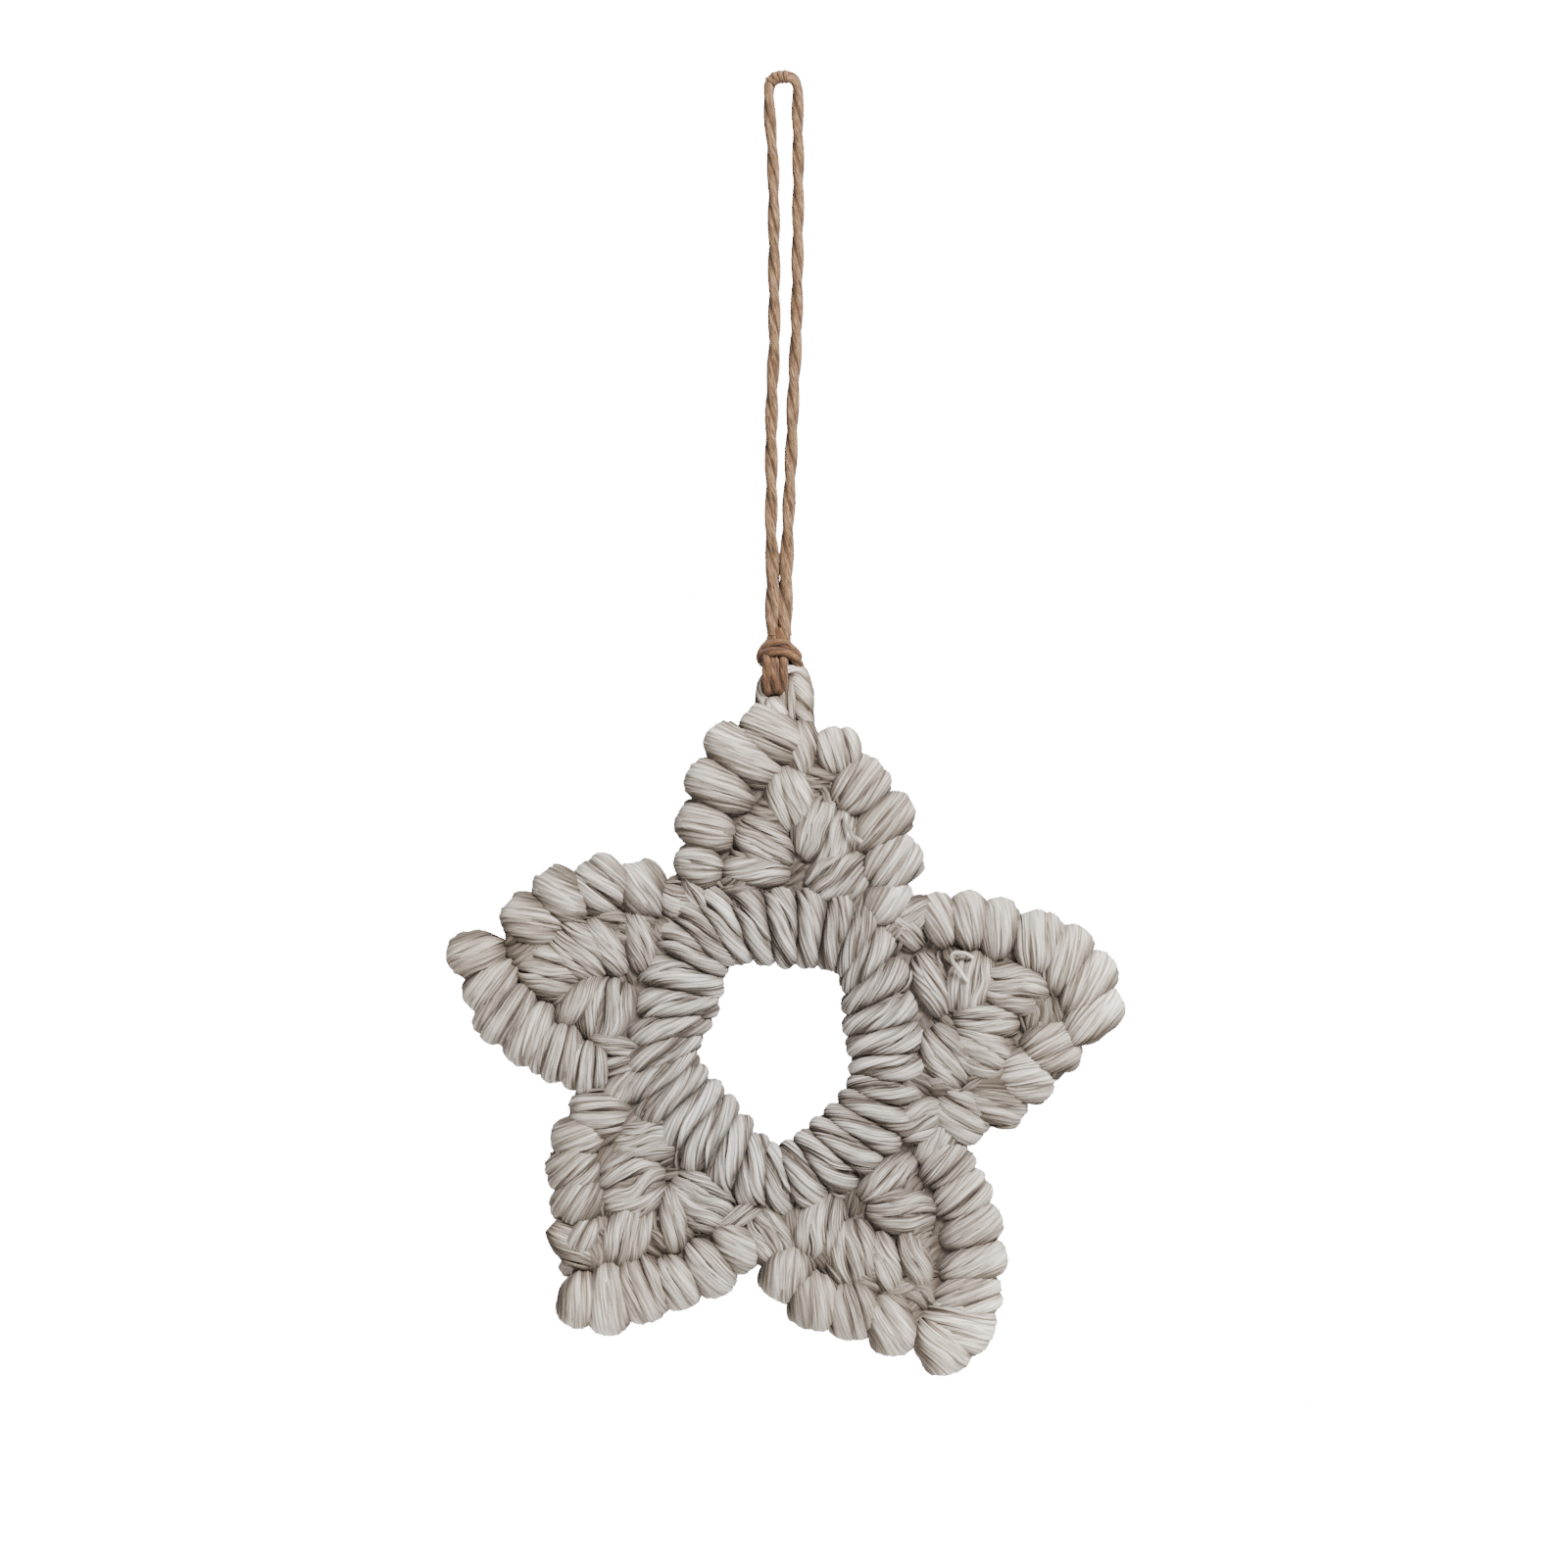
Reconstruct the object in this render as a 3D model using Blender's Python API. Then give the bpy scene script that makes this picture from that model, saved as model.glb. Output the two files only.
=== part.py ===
"""A crocheted cotton star that hangs on a loop of jute twine.

Metres, +Z up. The star lies in the XZ plane and its front faces -Y. The origin is inside the top of the
hanging loop, where a twig or a hook holds it. A bearing is an angle in degrees, clockwise from straight
up as seen from the front. A place in the star is a bearing and a share of STAR_REACH from the middle of
its ring, or from a point's hub, the small hole that its fan of stitches goes round.
"""

import math
from collections import namedtuple

import bmesh
import bpy
from mathutils import Matrix, Vector

MM = 0.001

# The loop of twine
TWINE_WIDTH = 2.16 * MM
LOOP_DROP = 101.8 * MM
GAP = 0.3 * MM

# The knot, and the bight of twine below it that goes through the cotton eye
KNOT_HEIGHT = 5.6 * MM
KNOT_WIDTH = 8.4 * MM
KNOT_CENTRE_X = -0.8 * MM
BIGHT_STRAND_WIDTH = 1.9 * MM
BIGHT_SPACING = 1.5 * MM
BIGHT_CENTRE_X = -1.3 * MM

# The cotton eye: a thick leg on the right, a thin crown under the twine, a leg on the left that widens below
EYE_HEIGHT = 9.0 * MM
EYE_CROWN_WIDTH = 2.6 * MM
EYE_LEFT_WIDTH = 2.0 * MM
EYE_RIGHT_WIDTH = 5.0 * MM
EYE_LEFT_X = -4.5 * MM
EYE_RIGHT_X = 3.6 * MM
EYE_ROOT = 6.5 * MM

# The star
STAR_REACH = 65.0 * MM
STAR_OFFSET_X = -1.4 * MM
TOP_SHARE = 0.93
BORDER_DEPTH = 11.0 * MM
BORDER_THICKNESS = 10.0 * MM
FAN_LENGTH = 13.4 * MM
FAN_THICKNESS = 9.0 * MM
STRAND_WIDTH = 3.2 * MM
RING_THICKNESS = 10.8 * MM
JOINT_LENGTH = 11.0 * MM
JOINT_THICKNESS = 6.8 * MM
WEB_THICKNESS = 4.8 * MM
RING_WEB_THICKNESS = 5.2 * MM

# How far a stitch swells into its neighbours, as a share of its own width and length, and how blunt its
# ends are: 1 is an ellipsoid, less is blunter
PLUMP = 1.16
STRETCH = 1.08
BLUNTNESS = 0.6
RIM_SWELL = 0.2 * MM

COTTON = (0.66, 0.61, 0.55, 1.0)
JUTE = (0.36, 0.23, 0.12, 1.0)

KNOT_TOP_Z = -LOOP_DROP
KNOT_BOTTOM_Z = KNOT_TOP_Z - KNOT_HEIGHT
CROWN_TOP_Z = KNOT_BOTTOM_Z - GAP
STAR_TOP_Z = CROWN_TOP_Z - EYE_HEIGHT
STAR_CENTRE = Vector((STAR_OFFSET_X, 0, STAR_TOP_Z - TOP_SHARE * STAR_REACH))

# A side is a row of border stitches whose outer ends lie on its rim. Their threads turn from one bearing
# to another along the row.
Side = namedtuple("Side", "stitches first_lean last_lean rim")
# A fan stitch is (bearing from the hub, share of the reach, bearing of its threads, strands).
Point = namedtuple("Point", "hub sides fan")

POINTS = {
    "top": Point(
        hub=(5, 0.492),
        sides=(
            Side(5, -77, -62, ((-31, 0.557), (-23, 0.71), (-15.8, 0.84), (-10.8, 0.92), (-2, 0.962))),
            Side(1, -2, -2, ((7, 0.927), (14, 0.921))),
            Side(4, 48, 46, ((17, 0.883), (27.5, 0.804), (35, 0.702), (41, 0.542))),
        ),
        fan=(
            (-42, 0.116, -40, 3),
            (-85, 0.1, -83, 2),
            (0, 0.213, -2, 3),
            (41, 0.151, 38, 4),
            (93, 0.133, 68, 3),
        ),
    ),
    "right": Point(
        hub=(80, 0.481),
        sides=(
            Side(3, -16, 8, ((42, 0.58), (51, 0.703), (59, 0.8))),
            Side(4, 10, 50, ((60, 0.808), (66, 0.896), (73.5, 0.972), (84.5, 0.985))),
            Side(4, 76, 135, ((85, 0.9), (96, 0.8), (105.5, 0.72), (118, 0.595))),
        ),
        fan=(
            (-21, 0.101, -20, 2),
            (35, 0.121, 22, 3),
            (67, 0.213, 98, 3),
            (92, 0.119, 95, 3),
            (132, 0.141, 128, 3),
            (175, 0.111, 150, 3),
        ),
    ),
    "lower right": Point(
        hub=(152, 0.487),
        sides=(
            Side(5, 48, 78, ((114.5, 0.573), (123, 0.725), (130.5, 0.857), (139.5, 0.972))),
            Side(1, 97, 97, ((140.5, 0.985), (150, 1.063))),
            Side(4, 146, 200, ((153.5, 1.0), (162, 0.87), (172.5, 0.8), (184, 0.67))),
        ),
        fan=(
            (52, 0.105, 55, 2),
            (103, 0.128, 100, 3),
            (135, 0.233, 150, 2),
            (156, 0.182, 160, 2),
            (185, 0.15, 180, 3),
            (235, 0.131, 205, 3),
        ),
    ),
    "lower left": Point(
        hub=(-141.5, 0.469),
        sides=(
            Side(4, -80, -133, ((-102, 0.57), (-112.5, 0.69), (-123, 0.775), (-132, 0.83))),
            Side(6, 192, 135, ((-140, 0.955), (-147, 0.965), (-159.5, 0.8), (-170, 0.695), (-178, 0.57))),
        ),
        fan=(
            (-36, 0.127, -85, 3),
            (-97, 0.117, -93, 4),
            (-142, 0.199, -148, 3),
            (180, 0.114, 180, 2),
            (128, 0.102, 130, 3),
        ),
    ),
    "left": Point(
        hub=(-66, 0.476),
        sides=(
            Side(4, -22, -67, ((-34, 0.615), (-45, 0.745), (-55, 0.83), (-67.5, 0.885))),
            Side(1, -98, -98, ((-70.5, 0.972), (-77.5, 0.957))),
            Side(5, -128, -165, ((-79, 0.905), (-87, 0.85), (-93, 0.755), (-97, 0.685), (-107, 0.53))),
        ),
        fan=(
            (24, 0.121, -10, 2),
            (-24, 0.103, -28, 2),
            (-58, 0.147, -40, 3),
            (-84, 0.209, -88, 3),
            (-116, 0.133, -125, 2),
            (-156, 0.097, -155, 3),
        ),
    ),
}

# A point's fabric runs on to the middle of the ring, this many degrees to each side of its hub, and the
# ring's runs on past its wraps, by this share of their length
WEB_SPREAD = 24
RING_MIDDLE = 0.75
WEB_REACH = 1.28

# The ring's inner and outer lines, from the top and clockwise, with as many wraps in each of their spans
WRAPS_PER_SPAN = 3
OPENING_LINE = (
    (3.5, 0.233), (37.5, 0.273), (70, 0.203), (110.5, 0.23), (149, 0.232),
    (179.5, 0.277), (214.5, 0.195), (261.5, 0.224), (301, 0.198), (327.5, 0.269),
)
RING_LINE = (
    (3, 0.455), (35.5, 0.504), (74.5, 0.419), (112, 0.442), (142, 0.456),
    (180, 0.482), (219.5, 0.437), (254, 0.455), (290, 0.419), (328, 0.515),
)

# Low stitches that join one point to the next, and two that fill the gaps at the eye and at the lower left
# corner: (bearing, share of the reach, bearing of threads, strands)
JOINTS = (
    (4.9, 0.845, 0, 2),
    (-134, 0.8, -45, 2),
    (-33.5, 0.512, -52, 2),
    (-28, 0.48, -20, 1),
    (39, 0.535, -12, 2),
    (45.5, 0.49, 60, 1),
    (116.5, 0.471, 90, 3),
    (120, 0.53, 50, 2),
    (182, 0.53, 160, 3),
    (-104.5, 0.446, -130, 2),
    (-96.5, 0.446, -95, 1),
)

# The route of the twine's two legs: (x, share of LOOP_DROP below the origin), and of the bend that joins
# them: (x, z), chosen by hand
LEFT_LEG = (
    (-2.75, 0.022), (-2.6, 0.06), (-2.1, 0.13), (-1.9, 0.21), (-1.8, 0.38), (-1.8, 0.47), (-2.2, 0.56),
    (-2.35, 0.65), (-2.3, 0.74), (-2.4, 0.81), (-2.2, 0.87), (-2.3, 0.93), (-2.1, 1.0),
)
RIGHT_LEG = (
    (2.55, 0.022), (2.5, 0.06), (2.6, 0.13), (2.6, 0.21), (2.4, 0.38), (2.2, 0.47), (1.7, 0.56),
    (1.4, 0.65), (1.0, 0.74), (0.7, 0.81), (0.6, 0.87), (0.4, 0.93), (0.35, 1.0),
)
LOOP_TOP = ((-2.6, -0.4), (-1.8, 0.72), (-0.6, 1.08), (0.6, 1.08), (1.7, 0.72), (2.35, -0.4))

# The knot's turns: (share of its width, width of the twine, share of its height above, tilt), and how flat
# it is
KNOT_TURNS = ((1.0, 2.3, 0.5, 12), (0.86, 2.2, 0.68, -10))
KNOT_FLATNESS = 0.72

# How far each strand of the bight leans out at its top
BIGHT_LEANS = (-0.9, -0.1)


def clear_scene():
    for item in list(bpy.data.objects):
        bpy.data.objects.remove(item)


def toward(bearing):
    """Unit vector in the star's plane."""
    angle = math.radians(bearing)
    return Vector((math.sin(angle), 0, math.cos(angle)))


def at(bearing, share, start=STAR_CENTRE):
    return start + toward(bearing) * share * STAR_REACH


def smooth_line(points, closed=False, steps=6):
    """Points on one smooth curve through the given ones."""
    count = len(points)
    spans = count if closed else count - 1
    line = []
    for i in range(spans):
        if closed:
            a, b, c, d = (points[(i + k) % count] for k in (-1, 0, 1, 2))
        else:
            b, c = points[i], points[i + 1]
            a = points[i - 1] if i > 0 else b * 2 - c
            d = points[i + 2] if i + 2 < count else c * 2 - b
        for step in range(steps):
            t = step / steps
            bend = (a * 2 - b * 5 + c * 4 - d) * t * t + (b * 3 - a - c * 3 + d) * t**3
            line.append(b + ((c - a) * t + bend) / 2)
    if not closed:
        line.append(points[-1])
    return line


def lengths_along(line):
    total = [0.0]
    for a, b in zip(line, line[1:]):
        total.append(total[-1] + (b - a).length)
    return total


def point_along(line, distance):
    total = lengths_along(line)
    for i in range(len(line) - 1):
        if distance <= total[i + 1] or i == len(line) - 2:
            share = (distance - total[i]) / (total[i + 1] - total[i])
            return line[i].lerp(line[i + 1], share)
    return line[-1]


def mesh_object(name, mesh):
    made = bpy.data.objects.new(name, mesh)
    bpy.context.scene.collection.objects.link(made)
    return made


def mesh_from(name, build):
    """A mesh object that build() fills through a bmesh."""
    bm = bmesh.new()
    build(bm)
    mesh = bpy.data.meshes.new(name)
    bm.to_mesh(mesh)
    bm.free()
    return mesh_object(name, mesh)


def lump(middle, bearing, length, width, thickness, rings=4):
    """The plump shape of one stitch, pinched at both ends along its threads."""
    frame = Matrix((toward(bearing + 90), Vector((0, 1, 0)), toward(bearing))).transposed()
    size = Matrix.Diagonal((width / 2, thickness / 2, length / 2))
    place = Matrix.Translation(middle) @ (frame @ size).to_4x4()

    def build(bm):
        bmesh.ops.create_uvsphere(bm, u_segments=6, v_segments=rings, radius=1)
        for vert in bm.verts:
            reach = math.hypot(vert.co.x, vert.co.y)
            if reach > 0.1:
                vert.co.x *= reach ** (BLUNTNESS - 1)
                vert.co.y *= reach ** (BLUNTNESS - 1)
        bmesh.ops.transform(bm, matrix=place, verts=bm.verts)
        bmesh.ops.recalc_face_normals(bm, faces=bm.faces)

    return mesh_from("lump", build)


def tube(points, widths, closed=False):
    """A cord along the points, as a closed mesh."""
    curve = bpy.data.curves.new("tube", "CURVE")
    curve.dimensions = "3D"
    curve.bevel_depth = 0.5
    curve.bevel_resolution = 1
    curve.use_fill_caps = not closed
    spline = curve.splines.new("POLY")
    spline.points.add(len(points) - 1)
    spline.use_cyclic_u = closed
    for knot, place, width in zip(spline.points, points, widths):
        knot.co = (*place, 1)
        knot.radius = width
    return mesh_of_curve(curve)


def mesh_of_curve(curve):
    source = bpy.data.objects.new("source", curve)
    bpy.context.scene.collection.objects.link(source)
    graph = bpy.context.evaluated_depsgraph_get()
    mesh = bpy.data.meshes.new_from_object(source.evaluated_get(graph))
    bpy.data.objects.remove(source)
    bm = bmesh.new()
    bm.from_mesh(mesh)
    bmesh.ops.remove_doubles(bm, verts=bm.verts, dist=0.00001)
    bmesh.ops.recalc_face_normals(bm, faces=bm.faces)
    bm.to_mesh(mesh)
    bm.free()
    return mesh_object("form", mesh)


def plate(outlines, thickness):
    """A flat sheet in the star's plane, from its outline and any hole's outline."""
    curve = bpy.data.curves.new("plate", "CURVE")
    curve.dimensions = "2D"
    curve.fill_mode = "BOTH"
    curve.extrude = thickness / 2
    for outline in outlines:
        spline = curve.splines.new("POLY")
        spline.points.add(len(outline) - 1)
        spline.use_cyclic_u = True
        for knot, place in zip(spline.points, outline):
            knot.co = (place.x, place.z, 0, 1)
    sheet = mesh_of_curve(curve)
    sheet.data.transform(Matrix.Rotation(math.radians(90), 4, "X"))
    return sheet


def fuse(name, shapes, material, parts):
    """One solid from shapes that overlap."""
    helpers = bpy.data.collections.new(name + " shapes")
    bpy.context.scene.collection.children.link(helpers)
    for shape in shapes[1:]:
        bpy.context.scene.collection.objects.unlink(shape)
        helpers.objects.link(shape)
    union = shapes[0].modifiers.new("union", "BOOLEAN")
    union.operation = "UNION"
    union.solver = "EXACT"
    union.operand_type = "COLLECTION"
    union.collection = helpers
    graph = bpy.context.evaluated_depsgraph_get()
    mesh = bpy.data.meshes.new_from_object(shapes[0].evaluated_get(graph))
    for shape in shapes:
        bpy.data.objects.remove(shape)
    bpy.data.collections.remove(helpers)
    solid = bpy.data.objects.new(name, mesh)
    parts.objects.link(solid)
    finish(solid, material)
    return solid


def finish(solid, material):
    solid.data.materials.clear()
    solid.data.materials.append(material)
    solid.data.shade_smooth()
    solid.data.set_sharp_from_angle(angle=math.radians(50))


def plain_material(name, colour, roughness):
    material = bpy.data.materials.new(name)
    material.use_nodes = True
    shader = material.node_tree.nodes["Principled BSDF"]
    shader.inputs["Base Color"].default_value = colour
    shader.inputs["Roughness"].default_value = roughness
    shader.inputs["Metallic"].default_value = 0.0
    return material


def border_places(point):
    """(middle, bearing of threads, width) of each border stitch of a point, in order round its rim."""
    for side in point.sides:
        rim = smooth_line([at(*place) for place in side.rim])
        step = lengths_along(rim)[-1] / side.stitches
        for i in range(side.stitches):
            outer = point_along(rim, (i + 0.5) * step)
            turn = i / max(1, side.stitches - 1)
            lean = side.first_lean + (side.last_lean - side.first_lean) * turn
            yield outer - toward(lean) * (BORDER_DEPTH / 2 - RIM_SWELL), lean, step


def border_lumps(point):
    for middle, lean, width in border_places(point):
        yield lump(middle, lean, BORDER_DEPTH * STRETCH, width * PLUMP, BORDER_THICKNESS, rings=5)


def fan_lumps(point):
    hub = at(*point.hub)
    for bearing, share, lean, strands in point.fan:
        middle = at(bearing, share, hub)
        yield lump(middle, lean, FAN_LENGTH, strands * STRAND_WIDTH * PLUMP, FAN_THICKNESS)


def ring_ends():
    """(inner end, outer end) of each wrap of the ring."""
    inner = smooth_line([at(*place) for place in OPENING_LINE], True, WRAPS_PER_SPAN)
    outer = smooth_line([at(*place) for place in RING_LINE], True, WRAPS_PER_SPAN)
    return list(zip(inner, outer))


def ring_lumps():
    ends = ring_ends()
    for i, (inner, outer) in enumerate(ends):
        along = outer - inner
        beside = (ends[i - 1][0] + ends[i - 1][1] - inner - outer).length / 2
        bearing = math.degrees(math.atan2(along.x, along.z))
        width = beside * PLUMP * PLUMP
        yield lump((inner + outer) / 2, bearing, along.length * STRETCH, width, RING_THICKNESS)


def joint_lumps():
    for bearing, share, lean, strands in JOINTS:
        width = (strands + 1) * STRAND_WIDTH * 0.7
        yield lump(at(bearing, share), lean, JOINT_LENGTH, width, JOINT_THICKNESS)


def point_web(point):
    """The fabric between a point's stitches, from its border to the middle of the ring."""
    outline = [middle for middle, _, _ in border_places(point)]
    bearing, share = point.hub
    for turn in (WEB_SPREAD, 0, -WEB_SPREAD):
        outline.append(at(bearing + turn, share * RING_MIDDLE))
    return plate([outline], WEB_THICKNESS)


def ring_web():
    ends = ring_ends()
    middle_line = [(inner + outer) / 2 for inner, outer in ends]
    outline = [inner.lerp(outer, WEB_REACH) for inner, outer in ends]
    return plate([outline, middle_line], RING_WEB_THICKNESS)


def eye_tube():
    crown_z = CROWN_TOP_Z - EYE_CROWN_WIDTH / 2
    star_z = STAR_TOP_Z
    left_gap = EYE_LEFT_X - EYE_LEFT_WIDTH / 2
    route = (
        (EYE_RIGHT_X + 0.8 * MM, star_z - EYE_ROOT, 0.9 * EYE_RIGHT_WIDTH),
        (EYE_RIGHT_X + 0.2 * MM, star_z, EYE_RIGHT_WIDTH),
        (EYE_RIGHT_X, star_z + 0.4 * EYE_HEIGHT, EYE_RIGHT_WIDTH),
        (EYE_RIGHT_X - 1.2 * MM, star_z + 0.75 * EYE_HEIGHT, 0.8 * EYE_RIGHT_WIDTH),
        (BIGHT_CENTRE_X, crown_z, EYE_CROWN_WIDTH),
        (EYE_LEFT_X + 0.8 * MM, star_z + 0.78 * EYE_HEIGHT, EYE_LEFT_WIDTH),
        (EYE_LEFT_X, star_z + 0.54 * EYE_HEIGHT, EYE_LEFT_WIDTH),
        (left_gap + 1.2 * EYE_LEFT_WIDTH, star_z + 0.22 * EYE_HEIGHT, 2.3 * EYE_LEFT_WIDTH),
        (left_gap + 1.4 * EYE_LEFT_WIDTH, star_z - 0.6 * EYE_ROOT, 2.5 * EYE_LEFT_WIDTH),
    )
    line = smooth_line([Vector((x, width, z)) for x, z, width in route], steps=2)
    return tube([Vector((p.x, 0, p.z)) for p in line], [p.y for p in line])


def twine_route():
    left = [Vector((x * MM, 0, -share * LOOP_DROP)) for x, share in LEFT_LEG]
    right = [Vector((x * MM, 0, -share * LOOP_DROP)) for x, share in RIGHT_LEG]
    top = [Vector((x * MM, 0, z * MM)) for x, z in LOOP_TOP]
    left[-1].z += GAP
    right[-1].z += GAP
    return list(reversed(left)) + top + right


def twine_loop(material, parts):
    line = smooth_line(twine_route(), steps=2)
    curve = bpy.data.curves.new("jute_loop", "CURVE")
    curve.dimensions = "3D"
    curve.bevel_depth = TWINE_WIDTH / 2
    curve.bevel_resolution = 2
    curve.use_fill_caps = True
    spline = curve.splines.new("POLY")
    spline.points.add(len(line) - 1)
    for knot, place in zip(spline.points, line):
        knot.co = (*place, 1)
    loop = bpy.data.objects.new("jute_loop", curve)
    parts.objects.link(loop)
    curve.materials.append(material)


def knot_core():
    """The two legs side by side, where the knot's turns hold them."""
    flat = Matrix.Diagonal((1.0, KNOT_FLATNESS, 1.0, 1.0))
    place = Matrix.Translation((KNOT_CENTRE_X, 0, (KNOT_TOP_Z + KNOT_BOTTOM_Z) / 2))

    def build(bm):
        bmesh.ops.create_cone(
            bm, cap_ends=True, segments=12, radius1=1.1 * TWINE_WIDTH, radius2=TWINE_WIDTH, depth=KNOT_HEIGHT
        )
        bmesh.ops.transform(bm, matrix=place @ flat, verts=bm.verts)

    return mesh_from("core", build)


def knot_turn(share, strand, height_share, tilt):
    """One turn of twine round the knot."""
    radius = (share * KNOT_WIDTH - strand) / 2
    middle = Vector((KNOT_CENTRE_X, 0, KNOT_TOP_Z - height_share * KNOT_HEIGHT))
    points = []
    for i in range(12):
        angle = math.tau * i / 12
        across = radius * math.cos(angle)
        deep = radius * KNOT_FLATNESS * math.sin(angle)
        points.append(middle + Vector((across, deep, -across * math.tan(math.radians(tilt)))))
    return tube(points, [strand] * len(points), closed=True)


def knot_bight(x, lean):
    """One strand of the bight, from the knot down in front of the eye's crown, under it and up behind."""
    depth = (EYE_CROWN_WIDTH + BIGHT_STRAND_WIDTH) / 2 + GAP
    crown_z = CROWN_TOP_Z - EYE_CROWN_WIDTH / 2
    top_z = KNOT_BOTTOM_Z + 0.35 * KNOT_HEIGHT
    middle_z = (top_z + crown_z) / 2
    low_z = crown_z - 0.75 * depth
    line = (
        Vector((x + lean, -0.45 * depth, top_z)),
        Vector((x + lean, -0.95 * depth, middle_z)),
        Vector((x + lean / 2, -1.06 * depth, crown_z)),
        Vector((x, -0.75 * depth, low_z)),
        Vector((x, 0, crown_z - 1.08 * depth)),
        Vector((x, 0.75 * depth, low_z)),
        Vector((x, 1.06 * depth, crown_z)),
        Vector((x, 0.95 * depth, middle_z)),
        Vector((x, 0.45 * depth, top_z)),
    )
    return tube(line, [BIGHT_STRAND_WIDTH] * len(line), closed=True)


def build_knot(material, parts):
    middle = Vector((KNOT_CENTRE_X, 0, (KNOT_TOP_Z + KNOT_BOTTOM_Z) / 2))
    filling = lump(middle, 90, 0.85 * KNOT_WIDTH, 0.85 * KNOT_HEIGHT, 0.85 * KNOT_WIDTH * KNOT_FLATNESS)
    shapes = [knot_core(), filling]
    for share, strand, height_share, tilt in KNOT_TURNS:
        shapes.append(knot_turn(share, strand * MM, height_share, tilt))
    for side, lean in zip((-0.5, 0.5), BIGHT_LEANS):
        shapes.append(knot_bight(BIGHT_CENTRE_X + side * BIGHT_SPACING, lean * MM))
    fuse("jute_knot", shapes, material, parts)


def build_star(material, parts):
    shapes = [eye_tube()]
    for point in POINTS.values():
        shapes.append(point_web(point))
        shapes.extend(border_lumps(point))
        shapes.extend(fan_lumps(point))
    shapes.append(ring_web())
    shapes.extend(ring_lumps())
    shapes.extend(joint_lumps())
    fuse("crochet_star", shapes, material, parts)


def main():
    clear_scene()
    parts = bpy.data.collections.new("christmas_star_ornament")
    bpy.context.scene.collection.children.link(parts)
    cotton = plain_material("cotton", COTTON, 0.9)
    jute = plain_material("jute", JUTE, 0.85)
    build_star(cotton, parts)
    build_knot(jute, parts)
    twine_loop(jute, parts)


main()
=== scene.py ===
import math
from collections import namedtuple

import bpy
import numpy as np
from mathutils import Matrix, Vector


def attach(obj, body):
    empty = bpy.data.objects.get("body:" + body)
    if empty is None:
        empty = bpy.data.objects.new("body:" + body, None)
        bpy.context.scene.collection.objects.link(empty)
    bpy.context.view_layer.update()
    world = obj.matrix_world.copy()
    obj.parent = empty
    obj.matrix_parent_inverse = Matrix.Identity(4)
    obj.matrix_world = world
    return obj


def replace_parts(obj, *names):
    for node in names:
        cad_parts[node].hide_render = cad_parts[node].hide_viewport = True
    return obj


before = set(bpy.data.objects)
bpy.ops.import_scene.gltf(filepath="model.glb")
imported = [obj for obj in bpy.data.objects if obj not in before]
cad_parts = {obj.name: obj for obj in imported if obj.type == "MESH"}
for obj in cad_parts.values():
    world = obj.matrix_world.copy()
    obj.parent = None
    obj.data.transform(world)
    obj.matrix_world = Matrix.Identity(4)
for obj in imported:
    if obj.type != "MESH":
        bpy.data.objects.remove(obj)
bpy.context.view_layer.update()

MM = 0.001
rng = np.random.default_rng(24)

# The view: millimetres in one image pixel at the star, the image's breadth in pixels, and the origin's row
MM_PER_PIXEL = 0.18
IMAGE_PIXELS = 1600
ORIGIN_ROW = 84.5
CAMERA_DISTANCE = 1.6
SENSOR_WIDTH = 36

# Lights: (name, place, size, watts)
LIGHTS = (
    ("key", (0.55, -0.78, 0.7), 0.4, 66),
    ("fill", (-0.8, -0.7, 0.1), 0.8, 3),
)
LIGHT_TARGET = (0, 0, -0.16)
WORLD_LIGHT = 0.22
BACKDROP_GLOW = 16
FLOOR_PLACE = (0, 0, -0.36)
BACKDROP_PLACE = (0, 4, -0.129)

# Layout, as in the solids: metres, the star in the XZ plane, its front facing -Y. A bearing is in degrees,
# clockwise from straight up as seen from the front.
TWINE_WIDTH = 2.16 * MM
LOOP_DROP = 101.8 * MM
GAP = 0.3 * MM
KNOT_HEIGHT = 5.6 * MM
EYE_HEIGHT = 9.0 * MM
EYE_CROWN_WIDTH = 2.6 * MM
STAR_REACH = 65.0 * MM
TOP_SHARE = 0.93
KNOT_TOP_Z = -LOOP_DROP
KNOT_BOTTOM_Z = KNOT_TOP_Z - KNOT_HEIGHT
CROWN_TOP_Z = KNOT_BOTTOM_Z - GAP
STAR_TOP_Z = CROWN_TOP_Z - EYE_HEIGHT
STAR_CENTRE = np.array((-1.4 * MM, 0, STAR_TOP_Z - TOP_SHARE * STAR_REACH))

BORDER_HALF = 4.9 * MM
FAN_LENGTH = 12.8 * MM
FAN_HALF = 4.4 * MM
RING_HALF = 5.0 * MM
STRAND_WIDTH = 3.2 * MM

# How a ply is drawn: points for each thread of it, the degrees that it spans, and how dark the painted shade
# on its flanks is
POINTS_PER_THREAD = 2
PLY_SPAN = 216
FLANK_SHADE = 0.78
# Degrees between the plies of a stitch, for its number of strands
PLY_SPACING = {2: 86, 3: 60, 4: 46}
# Degrees that a border stitch goes round the rim from its outermost place, to each face
BORDER_WRAP = 166

# Places on the star are (bearing, share of the reach). A side is a row of border stitches: the strands in
# each, the bearings of the first and last, the rim's line, and the stitches' depths along it in millimetres.
Side = namedtuple("Side", "strands first_lean last_lean rim depths", defaults=[(11.8, 11.8)])
# A fan stitch is (bearing from the hub, share of the reach, bearing of its threads, strands).
Point = namedtuple("Point", "hub sides fan")

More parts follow.
